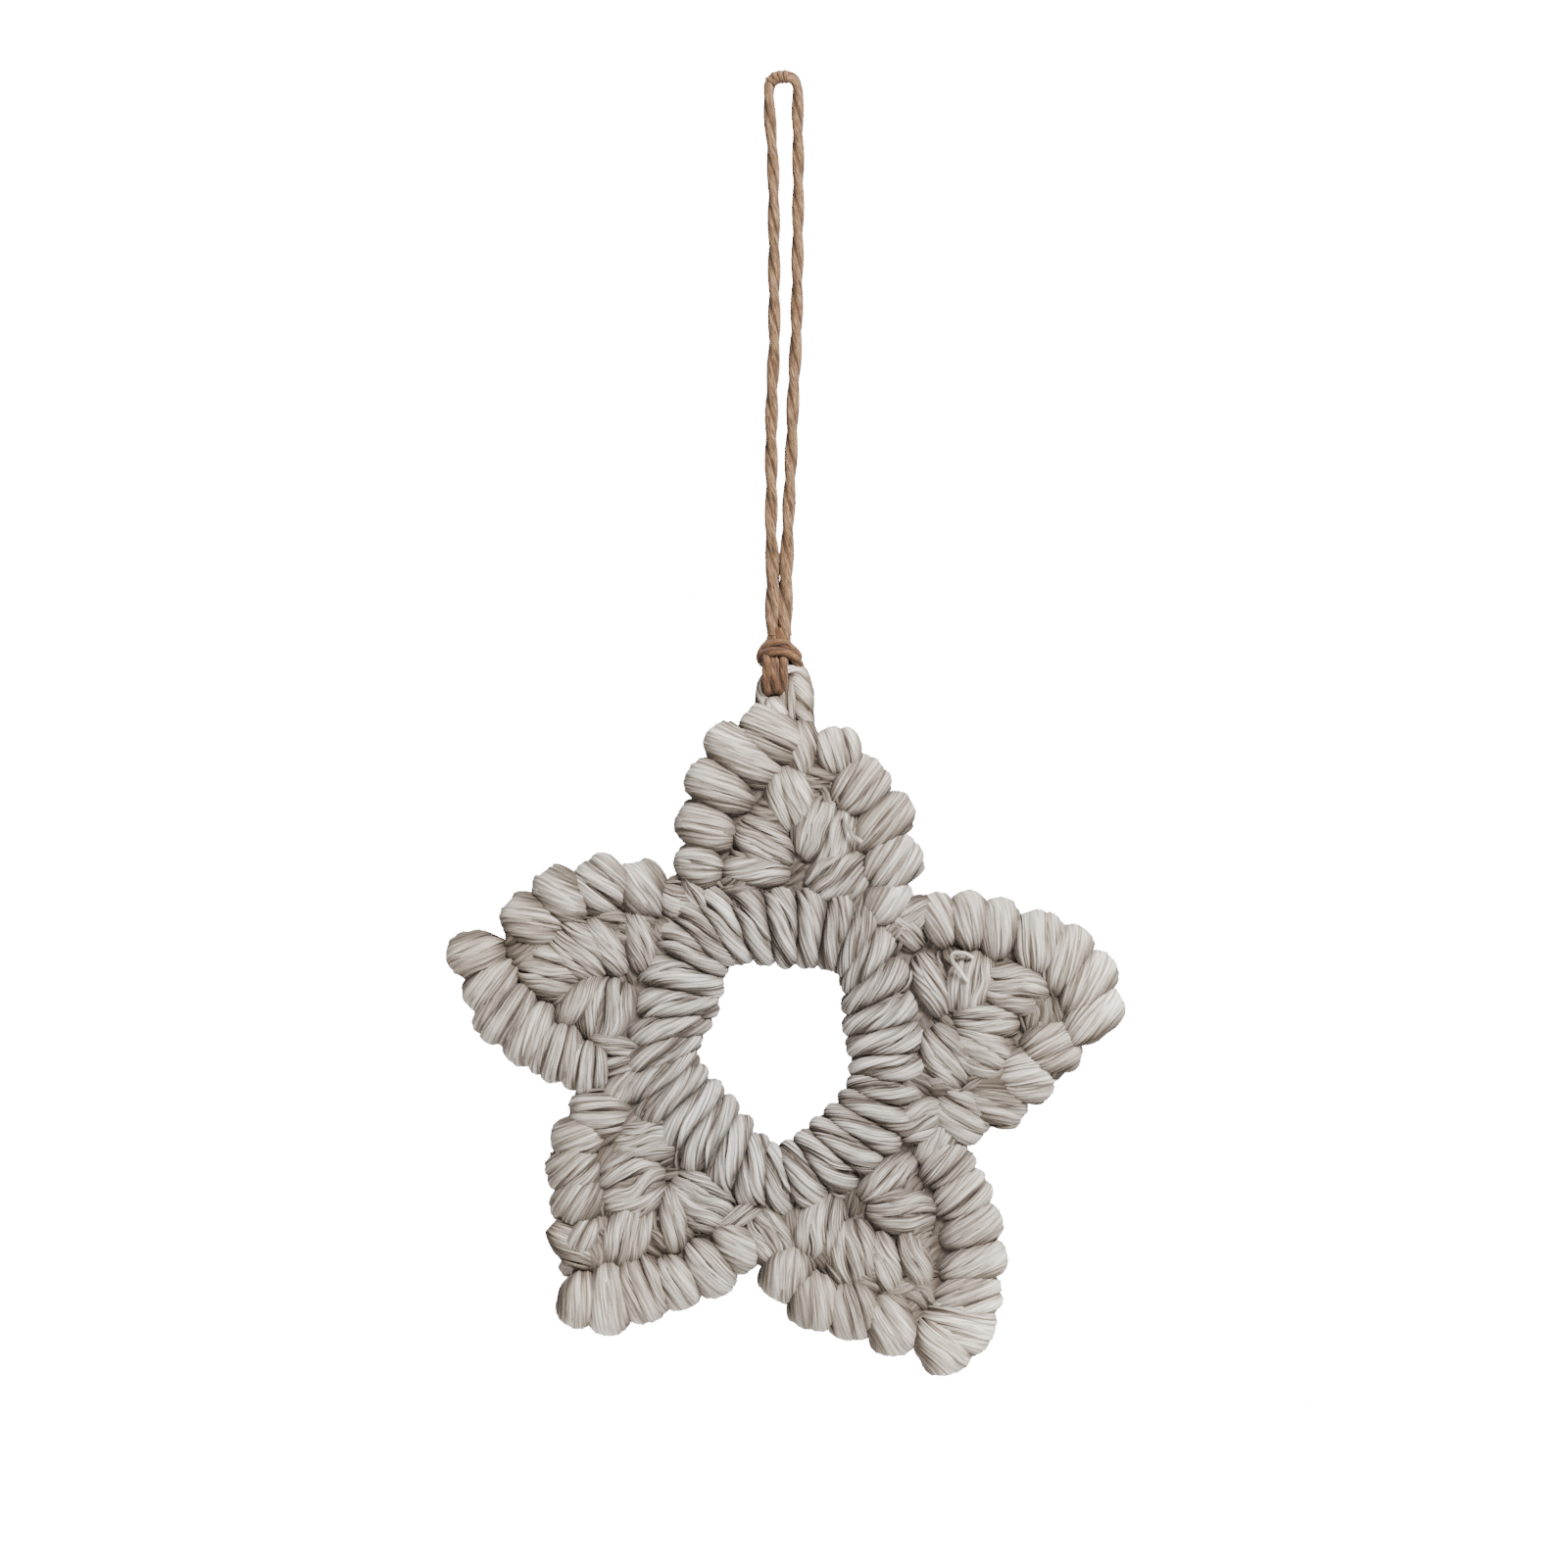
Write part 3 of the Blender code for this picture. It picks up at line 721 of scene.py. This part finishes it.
def build_eye():
    """The twisted cord of the eye, and the stitches that hold its ends on both faces."""
    bag = Bag()
    line = smooth_line([(x * MM, 0, STAR_TOP_Z + z * MM) for x, z, _ in EYE_ROUTE], steps=8)
    width = smooth_line([(w * MM, 0, 0) for _, _, w in EYE_ROUTE], steps=8)[:, 0]
    out, _ = path_frames(line)
    bundle(
        bag, line, out, width / 2, width / 2, 120, 360 * length_of(line) / (21 * MM), np.ones(len(line)), 0.6,
        phase=40, lobes=16, cover=360, full=1.12, relief=0.6,
    )
    middle = np.array((0.9 * MM, 0, STAR_TOP_Z + 2.4 * MM))
    foot = np.array((-1.4 * MM, 0, STAR_TOP_Z - 0.1 * MM))
    for front in (True, False):
        # The middle stitch fills the eye's opening and is dimmed: painted shade
        flat_stitch(
            bag, middle, 4, 12 * MM, 2.6 * MM, 4.2 * MM, 2, 0.4, front,
            low=0.8, deep=1.8 * MM, dim=0.7,
        )
        flat_stitch(bag, foot, -8, 9 * MM, 3.3 * MM, 6.8 * MM, 2, 0.7, front, low=0.6, deep=2.1 * MM)
    return bag


def loose_thread(bag, points, width, tone=0.8):
    """One thin round thread through these points in millimetres."""
    line = smooth_line([(x * MM, y * MM, z * MM) for x, y, z in points], steps=5)
    out, side = path_frames(line)
    size = np.full(len(line), width)
    sweep(bag, line, out, side, size, size / 2, 6, 360, 200, np.ones(len(line)), tone, groove=0.1)


def build_loose_ends():
    """The threads that have come up on the front, and a small knot on the lower left point's rim."""
    bag = Bag()
    for points, width in RAISED_THREADS:
        loose_thread(bag, points, width * MM)
    x, z = SMALL_KNOT
    for turn in (0, 70, 130):
        angle = math.radians(turn)
        across, up = math.cos(angle), math.sin(angle)
        radius = SMALL_KNOT_RADIUS
        circle = [
            (x + radius * math.cos(t) * across, radius * math.sin(t), z + radius * math.cos(t) * up)
            for t in np.linspace(0, 1.05 * math.tau, 9)
        ]
        loose_thread(bag, circle, 2 * radius * MM, 0.5)
    return bag


# Jute

def twine_route():
    """The cord's points from the knot up the left leg, over the top and down the right leg."""
    left = [(x * MM, 0, -share * LOOP_DROP) for x, share in LEFT_LEG]
    right = [(x * MM, 0, -share * LOOP_DROP) for x, share in RIGHT_LEG]
    top = [(x * MM, 0, z * MM) for x, z in LOOP_TOP]
    left[-1] = (left[-1][0], 0, left[-1][2] + GAP)
    right[-1] = (right[-1][0], 0, right[-1][2] + GAP)
    return list(reversed(left)) + top + right


def legs_together(line):
    """The route as drawn: the two legs lie against each other above the knot."""
    near = ease((-0.78 * LOOP_DROP - line[:, 2]) / (14 * MM))
    drawn = line.copy()
    drawn[:, 0] += near * 0.13 * (LEGS_MIDDLE - line[:, 0])
    return drawn


def twine(
    bag, line, width,
    lay=18 * MM, step=0.45 * MM, start=0.0, hairs_every=2.0 * MM, tone=0.6, fuller_below=-1.0,
):
    """Two plies twisted together, their fibres as fine ridges, and short hairs that stand off them."""
    count = max(8, int(length_of(line) / step))
    line = even_line(line, count)
    out, side = path_frames(line)
    run = np.linspace(0, length_of(line), count)
    cols = 32
    theta = np.linspace(0, math.tau, cols, endpoint=False)
    turn = start - run / lay * math.tau + wander(run / run[-1], 0.25, 6)
    half = width / 2 * (1 + 0.14 * ease((fuller_below - line[:, 2:]) / (12 * MM)))
    ply, apart = half * 0.78, half * 0.26
    local = theta[None, :] - turn[:, None]
    sine, cosine = np.sin(local), np.abs(np.cos(local))
    radius = apart * cosine + np.sqrt(np.maximum(ply**2 - (apart * sine) ** 2, 0))
    fibre = np.sin(local * 11 + run[:, None] / (2.2 * MM)) * 0.03
    fibre = fibre + np.sin(local * 17 - run[:, None] / (1.3 * MM)) * 0.02
    rough = rng.normal(0, 0.012, radius.shape)
    thick = 1 + wander(run / run[-1], 0.02, 12)
    radius = radius * (1 + fibre + rough) * thick[:, None]
    grid = (
        line[:, None, :]
        + (radius * np.sin(theta))[..., None] * side[:, None, :]
        + (radius * np.cos(theta))[..., None] * out[:, None, :]
    )
    # Painted shade: darker in the groove between the two plies, lighter on the fibre ridges and darker
    # between them
    shade = 0.22 + 0.78 * ease(cosine / 0.42) + fibre * 4
    thread = np.stack(
        (
            np.broadcast_to(theta * half, radius.shape) + run[:, None] * 0.35,
            np.broadcast_to(run[:, None], radius.shape),
            np.zeros_like(radius),
        ),
        axis=-1,
    )
    bag.add(grid, shade, thread, tone, wrap_across=True)
    hairs(bag, line, out, side, half, run[-1], hairs_every, tone)


def hairs(bag, line, out, side, half, length, every, tone):
    """Short fibres that stand off the twine."""
    count = len(line)
    for place in np.arange(0, length, every):
        i = min(count - 1, int(place / length * count))
        angle = rng.uniform(0, math.tau)
        away = math.sin(angle) * side[i] + math.cos(angle) * out[i]
        along = unit(line[min(i + 1, count - 1)] - line[max(i - 1, 0)])
        size = rng.uniform(0.4, 1.2) * MM
        lean = rng.uniform(0.6, 2.2) * rng.choice((-1, 1))
        root = line[i] + away * half[i] * 0.8
        t = np.linspace(0, 1, 5)
        hair = root + (t * size)[:, None] * away * 0.55 + (t**1.4 * size * lean)[:, None] * along
        hair += (t**2 * size * rng.normal(0, 0.3))[:, None] * np.cross(along, away)
        ring = np.linspace(0, math.tau, 3, endpoint=False)
        h_out, h_side = path_frames(hair)
        fine = 0.035 * MM * (1.1 - t)
        tube = hair[:, None, :] + fine[:, None, None] * (
            np.sin(ring)[None, :, None] * h_side[:, None, :] + np.cos(ring)[None, :, None] * h_out[:, None, :]
        )
        bag.add(tube, np.full((5, 3), 1.0), np.zeros((5, 3, 3)), tone, wrap_across=True)


def rib(bag, line, place, radius, thickness):
    """One turn of fibres pulled tight across the twine."""
    out, side = path_frames(line)
    along = unit(np.gradient(line, axis=0))
    i = int(np.searchsorted(distances(line), place))
    rows, cols = 20, 8
    around = np.linspace(0, math.tau, rows, endpoint=False)[:, None, None]
    section = np.linspace(0, math.tau, cols, endpoint=False)[None, :, None]
    spoke = np.sin(around) * side[i] + np.cos(around) * out[i]
    lean = 0.22 * thickness * np.sin(around)
    grid = line[i] + (radius + thickness / 2 * np.cos(section)) * spoke
    grid = grid + (thickness * 0.62 * np.sin(section) + lean) * along[i]
    # Painted shade: the rib's outer face light and its flanks dark
    shade = 0.3 + 0.7 * ease((np.cos(section[..., 0]) + 0.5) / 1.1) * np.ones((rows, 1))
    thread = np.stack(
        (
            np.broadcast_to(section[..., 0] * thickness / 2, (rows, cols)),
            np.broadcast_to(around[..., 0] * radius, (rows, cols)),
            np.zeros((rows, cols)),
        ),
        axis=-1,
    )
    bag.add(grid, shade, thread, 0.6, wrap_along=True, wrap_across=True)


def build_knot():
    """An overhand knot in the two legs, and the bight below it that goes round the eye's crown."""
    bag = Bag()
    top, bottom = KNOT_TOP_Z, KNOT_BOTTOM_Z
    mid = (top + bottom) / 2
    crown_z = CROWN_TOP_Z - EYE_CROWN_WIDTH / 2
    low = crown_z - 3.0 * MM

    def strand(points, width, start):
        line = smooth_line([(x * MM, y * MM, z) for x, y, z in points], steps=8)
        twine(bag, line, width * MM, lay=14 * MM, start=start, step=0.3 * MM, hairs_every=1.2 * MM, tone=0.25)

    # The middle of the knot
    strand(((-0.9, 0, top + 1.6 * MM), (-0.9, -0.4, mid), (-0.9, -0.2, bottom)), 3.0, 0)
    # Each leg runs down into the knot and swings out to its side
    strand(
        (
            (-1.85, 0, top + 1.2 * MM), (-2.3, -0.8, top - 0.9 * MM), (-3.5, -0.9, top - 2.4 * MM),
            (-4.0, 0, top - 3.9 * MM), (-3.1, 1.0, bottom + 0.8 * MM), (-1.5, 1.5, bottom + 0.5 * MM),
        ),
        2.2, 0,
    )
    strand(
        (
            (0.25, 0, top + 1.2 * MM), (0.5, -0.8, top - 1.1 * MM), (1.4, -1.0, top - 2.5 * MM),
            (2.3, -0.4, bottom + 1.9 * MM), (1.9, 1.0, bottom + 1.1 * MM), (0.2, 1.5, bottom + 0.9 * MM),
        ),
        2.2, 1,
    )
    # The two turns that hold them, over the front and round the back
    strand(
        (
            (-3.9, 1.0, mid - 1.0 * MM), (-3.7, -0.7, mid + 0.4 * MM), (-2.6, -1.5, mid + 1.3 * MM),
            (-0.8, -1.9, mid + 1.6 * MM), (0.7, -1.5, mid + 1.1 * MM), (1.8, -0.6, mid - 0.2 * MM),
            (2.2, 0.6, mid - 1.4 * MM),
        ),
        1.9, 4,
    )
    strand(
        (
            (-3.6, 1.0, mid - 1.9 * MM), (-3.8, -0.6, mid - 0.9 * MM), (-3.0, -1.9, mid - 0.1 * MM),
            (-1.4, -2.4, mid + 0.2 * MM), (0.5, -2.3, mid - 0.1 * MM), (1.9, -1.7, mid - 1.1 * MM),
            (2.9, -0.7, mid - 2.5 * MM), (2.9, 0.5, bottom - 0.3 * MM),
        ),
        1.7, 2,
    )
    strand(
        (
            (2.4, 1.0, mid - 1.2 * MM), (0.6, 2.1, mid + 0.3 * MM),
            (-1.6, 2.2, mid + 0.4 * MM), (-3.4, 1.1, mid - 0.6 * MM),
        ),
        2.1, 3,
    )
    # The bight
    for x, lean, phase in ((-2.95, -0.3, 0.4), (-1.6, -0.1, 2.0), (-0.3, 0.3, 1.2)):
        depth = 2.6
        strand(
            (
                (x + lean, -0.8, mid - 0.3 * MM), (x + lean, -2.0, bottom + 1.2 * MM),
                (x + lean / 2, -depth - 0.1, crown_z), (x, -depth * 0.75, crown_z - 2.1 * MM),
                (x, 0, low - 0.2 * MM), (x, depth * 0.75, crown_z - 2.1 * MM), (x, depth + 0.1, crown_z),
                (x, 2.0, bottom + 1.2 * MM), (x, 0.8, mid - 0.3 * MM),
            ),
            1.9, phase,
        )
    return bag


# Materials

def material(name):
    made = bpy.data.materials.new(name)
    made.use_nodes = True
    tree = made.node_tree
    return made, tree, tree.nodes["Principled BSDF"]


def node(tree, kind, **settings):
    made = tree.nodes.new(kind)
    for key, value in settings.items():
        setattr(made, key, value)
    return made


def attribute(tree, name):
    return node(tree, "ShaderNodeAttribute", attribute_name=name)


def noise(tree, vector, scale, detail=3.0, rough=0.6):
    made = node(tree, "ShaderNodeTexNoise")
    made.inputs["Scale"].default_value = scale
    made.inputs["Detail"].default_value = detail
    made.inputs["Roughness"].default_value = rough
    tree.links.new(vector, made.inputs["Vector"])
    return made.outputs["Fac"]


def stretched(tree, vector, scale):
    """The vector scaled along each axis, so that noise runs along the threads."""
    made = node(tree, "ShaderNodeMapping")
    made.inputs["Scale"].default_value = scale
    tree.links.new(vector, made.inputs["Vector"])
    return made.outputs["Vector"]


def ramp(tree, value, stops):
    made = node(tree, "ShaderNodeValToRGB")
    while len(made.color_ramp.elements) < len(stops):
        made.color_ramp.elements.new(0.5)
    for element, (place, colour) in zip(made.color_ramp.elements, stops):
        element.position = place
        element.color = (*colour, 1)
    tree.links.new(value, made.inputs["Fac"])
    return made.outputs["Color"]


def multiply(tree, share, colour, tint):
    """The colour multiplied by the tint, by this share."""
    made = node(tree, "ShaderNodeMix", data_type="RGBA", blend_type="MULTIPLY")
    sockets = {s.name: s for s in made.inputs if s.enabled and s.type in ("VALUE", "RGBA")}
    sockets["Factor"].default_value = share
    tree.links.new(colour, sockets["A"])
    tree.links.new(tint, sockets["B"])
    return [s for s in made.outputs if s.type == "RGBA"][0]


def add_bump(tree, shader, height, strength, distance):
    made = node(tree, "ShaderNodeBump")
    made.inputs["Strength"].default_value = strength
    made.inputs["Distance"].default_value = distance
    tree.links.new(height, made.inputs["Height"])
    tree.links.new(made.outputs["Normal"], shader.inputs["Normal"])


def cotton_material():
    made, tree, shader = material("crochet_cotton")
    shade = attribute(tree, "shade").outputs["Fac"]
    tone = attribute(tree, "tone").outputs["Fac"]
    thread = attribute(tree, "thread").outputs["Vector"]
    fibres = noise(tree, stretched(tree, thread, (2600, 170, 1)), 1.0, 3.0, 0.7)
    patches = noise(tree, node(tree, "ShaderNodeTexCoord").outputs["Object"], 45, 2.0)
    strands = noise(tree, stretched(tree, thread, (1350, 105, 1)), 1.0, 2.0, 0.5)
    base = ramp(
        tree, tone,
        ((0.1, (0.52, 0.48, 0.44)), (0.5, (0.645, 0.61, 0.575)), (0.9, (0.78, 0.755, 0.725))),
    )
    patch_tint = ramp(tree, patches, ((0.35, (0.9, 0.87, 0.83)), (0.65, (1, 1, 1))))
    # Painted shade: fine dark lines between the fibres and between the threads; the fibre lines match the
    # bump's hollows
    fibre_lines_shade = ramp(tree, fibres, ((0.36, (0.36, 0.33, 0.3)), (0.55, (1, 1, 1))))
    strand_lines_shade = ramp(tree, strands, ((0.36, (0.3, 0.26, 0.23)), (0.5, (1, 1, 1))))
    lined = multiply(tree, 0.5, base, patch_tint)
    lined = multiply(tree, 0.85, lined, fibre_lines_shade)
    lined = multiply(tree, 0.75, lined, strand_lines_shade)
    # Painted shade: the shade attribute darkens the colour in grooves, between plies, on flanks and towards
    # stitch ends
    crevice_shade = ramp(
        tree, shade,
        ((0.07, (0.05, 0.038, 0.029)), (0.3, (0.18, 0.155, 0.134)), (0.6, (0.48, 0.45, 0.42)),
         (0.84, (0.85, 0.84, 0.83)), (1.0, (1, 1, 1))),
    )
    # Greyer near the ring, and painted light towards the tips, brighter than white at the outermost rim
    reach = node(tree, "ShaderNodeVectorMath", operation="DISTANCE")
    tree.links.new(node(tree, "ShaderNodeTexCoord").outputs["Object"], reach.inputs[0])
    reach.inputs[1].default_value = tuple(STAR_CENTRE)
    outward = node(tree, "ShaderNodeMath", operation="DIVIDE")
    outward.inputs[1].default_value = STAR_REACH
    tree.links.new(reach.outputs["Value"], outward.inputs[0])
    ring_grey_and_tip_light = ramp(
        tree, outward.outputs["Value"],
        ((0.4, (0.92, 0.925, 0.935)), (0.6, (0.91, 0.89, 0.86)),
         (0.82, (0.96, 0.93, 0.88)), (1.0, (1.38, 1.33, 1.25))),
    )
    colour = multiply(tree, 1.0, multiply(tree, 1.0, lined, crevice_shade), ring_grey_and_tip_light)
    tree.links.new(colour, shader.inputs["Base Color"])
    shader.inputs["Roughness"].default_value = 0.92
    shader.inputs["Specular IOR Level"].default_value = 0.25
    shader.inputs["Sheen Weight"].default_value = 0.1
    shader.inputs["Sheen Roughness"].default_value = 0.45
    add_bump(tree, shader, fibres, 0.7, 0.00025)
    return made


def core_material():
    made, tree, shader = material("cotton_in_shadow")
    place = node(tree, "ShaderNodeTexCoord").outputs["Object"]
    fuzz = noise(tree, place, 900, 4.0)
    # Painted shade: near-black brown for the fabric deep in shadow between the stitches
    colour = ramp(tree, fuzz, ((0.3, (0.03, 0.023, 0.017)), (0.7, (0.11, 0.088, 0.07))))
    tree.links.new(colour, shader.inputs["Base Color"])
    shader.inputs["Roughness"].default_value = 1.0
    add_bump(tree, shader, fuzz, 0.6, 0.0003)
    return made


def jute_material():
    made, tree, shader = material("jute_fibre")
    shade = attribute(tree, "shade").outputs["Fac"]
    thread = attribute(tree, "thread").outputs["Vector"]
    place = node(tree, "ShaderNodeTexCoord").outputs["Object"]
    fibres = noise(tree, stretched(tree, thread, (5200, 420, 1)), 1.0, 3.0)
    streaks = noise(tree, stretched(tree, thread, (1900, 150, 1)), 1.0, 2.0)
    patches = noise(tree, place, 240, 3.0)
    base = ramp(
        tree, fibres,
        ((0.34, (0.056, 0.025, 0.01)), (0.5, (0.165, 0.09, 0.04)), (0.66, (0.35, 0.235, 0.13))),
    )
    streak_tint = ramp(
        tree, streaks,
        ((0.36, (0.3, 0.24, 0.2)), (0.52, (0.85, 0.82, 0.8)), (0.66, (1, 1, 1))),
    )
    patch_tint = ramp(tree, patches, ((0.35, (0.72, 0.66, 0.6)), (0.6, (1, 1, 1))))
    # Painted shade: darker in the grooves between the twine's plies and on the ribs' flanks
    dark = ramp(tree, shade, ((0.15, (0.10, 0.07, 0.05)), (0.5, (0.5, 0.44, 0.38)), (0.95, (1, 1, 1))))
    tone = ramp(tree, attribute(tree, "tone").outputs["Fac"], ((0.25, (0.68, 0.56, 0.48)), (0.6, (1, 1, 1))))
    varied = multiply(tree, 0.85, base, streak_tint)
    varied = multiply(tree, 0.6, varied, patch_tint)
    toned = multiply(tree, 1.0, multiply(tree, 1.0, varied, dark), tone)
    tree.links.new(toned, shader.inputs["Base Color"])
    shader.inputs["Roughness"].default_value = 0.85
    shader.inputs["Specular IOR Level"].default_value = 0.3
    shader.inputs["Sheen Weight"].default_value = 0.15
    add_bump(tree, shader, fibres, 0.5, 0.0001)
    return made


# Camera, light and floor

def plain(name, colour, glow=0.0):
    made, _, shader = material(name)
    shader.inputs["Base Color"].default_value = (*colour, 1)
    shader.inputs["Roughness"].default_value = 0.9
    if glow:
        shader.inputs["Emission Color"].default_value = (*colour, 1)
        shader.inputs["Emission Strength"].default_value = glow
    return made


def build_camera():
    data = bpy.data.cameras.new("camera")
    data.sensor_width = SENSOR_WIDTH
    data.lens = SENSOR_WIDTH * CAMERA_DISTANCE / (IMAGE_PIXELS * MM_PER_PIXEL * MM)
    data.clip_start = 0.05
    made = bpy.data.objects.new("camera", data)
    bpy.context.scene.collection.objects.link(made)
    made.location = (0, -CAMERA_DISTANCE, (ORIGIN_ROW - IMAGE_PIXELS / 2) * MM_PER_PIXEL * MM)
    made.rotation_euler = (math.radians(90), 0, 0)
    bpy.context.scene.camera = made


def area_light(name, place, aim, size, power):
    data = bpy.data.lights.new(name, "AREA")
    data.shape = "SQUARE"
    data.size = size
    data.energy = power
    made = bpy.data.objects.new(name, data)
    bpy.context.scene.collection.objects.link(made)
    made.location = place
    made.rotation_euler = (Vector(aim) - Vector(place)).to_track_quat("-Z", "Y").to_euler()


def build_studio():
    bpy.ops.mesh.primitive_plane_add(size=1.2, location=FLOOR_PLACE)
    floor = bpy.context.object
    floor.name = "floor"
    floor.data.materials.append(plain("floor_white", (0.82, 0.82, 0.81)))
    bpy.ops.mesh.primitive_plane_add(size=1.3, location=BACKDROP_PLACE, rotation=(math.radians(90), 0, 0))
    backdrop = bpy.context.object
    backdrop.name = "backdrop"
    backdrop.data.materials.append(plain("backdrop_white", (1, 1, 1), glow=BACKDROP_GLOW))
    world = bpy.data.worlds.new("studio")
    bpy.context.scene.world = world
    world.use_nodes = True
    background = world.node_tree.nodes["Background"]
    background.inputs["Color"].default_value = (1, 1, 1, 1)
    background.inputs["Strength"].default_value = WORLD_LIGHT
    for name, place, size, power in LIGHTS:
        area_light(name, place, LIGHT_TARGET, size, power)


# Pieces, in the order in which they are made

def build_loop(jute):
    """The twine's loop, as one piece, and its knot, as another."""
    route = smooth_line(twine_route(), steps=6)
    bag = Bag()
    twine(bag, legs_together(route), TWINE_FULLNESS * TWINE_WIDTH, fuller_below=-0.8 * LOOP_DROP)
    for i in range(RIBS):
        rib(bag, smooth_line(route, steps=6), FIRST_RIB + i * RIB_DISTANCE, RIB_RADIUS, RIB_THICKNESS)
    loop = bag.piece("jute_twine_loop", jute, "jute")
    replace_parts(loop, "jute_loop")
    knot = build_knot().piece("jute_twine_knot", jute, "jute")
    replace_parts(knot, "jute_knot")


def build_star(cotton):
    for name, point in POINTS.items():
        made = build_point(point).piece("star_point_" + name.replace(" ", "_"), cotton, "cotton")
        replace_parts(made, "crochet_star")
    for name, build in (
        ("star_ring", build_ring), ("star_joints", build_joints), ("star_eye", build_eye),
        ("star_loose_ends", build_loose_ends),
    ):
        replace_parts(build().piece(name, cotton, "cotton"), "crochet_star")


def core_plate(name, outlines, half, shadow):
    """Painted shade: a dark flat plate with these outlines, for the fabric deep between the stitches."""
    curve = bpy.data.curves.new(name, "CURVE")
    curve.dimensions = "2D"
    curve.fill_mode = "BOTH"
    curve.extrude = half
    for outline in outlines:
        spline = curve.splines.new("POLY")
        spline.points.add(len(outline) - 1)
        spline.use_cyclic_u = True
        for corner, place in zip(spline.points, outline):
            corner.co = (place[0], place[2], 0, 1)
    source = bpy.data.objects.new(name, curve)
    bpy.context.scene.collection.objects.link(source)
    mesh = bpy.data.meshes.new_from_object(source.evaluated_get(bpy.context.evaluated_depsgraph_get()))
    bpy.data.objects.remove(source)
    for vert in mesh.vertices:
        x, y, z = vert.co
        vert.co = (x, -z, y)
    mesh.materials.clear()
    mesh.materials.append(shadow)
    made = bpy.data.objects.new(name, mesh)
    bpy.context.scene.collection.objects.link(made)
    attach(made, "root")
    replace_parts(made, "crochet_star")


def build_cores(shadow):
    for name, point in POINTS.items():
        outline = [place - toward(lean) * depth * 0.48 for place, lean, depth, _, _ in border_places(point)]
        bearing, share = point.hub
        outline += [at(bearing + turn, share * 0.75) for turn in (24, 0, -24)]
        core_plate("core_" + name.replace(" ", "_"), [outline], 1.9 * MM, shadow)
    ends = ring_ends()
    outside = [inner + (outer - inner) * 1.22 for inner, outer in ends]
    inside = [inner * 0.6 + outer * 0.4 for inner, outer in ends]
    core_plate("core_ring", [outside, inside], 2.0 * MM, shadow)


build_camera()
cotton, shadow, jute = cotton_material(), core_material(), jute_material()
build_loop(jute)
build_star(cotton)
build_cores(shadow)
build_studio()
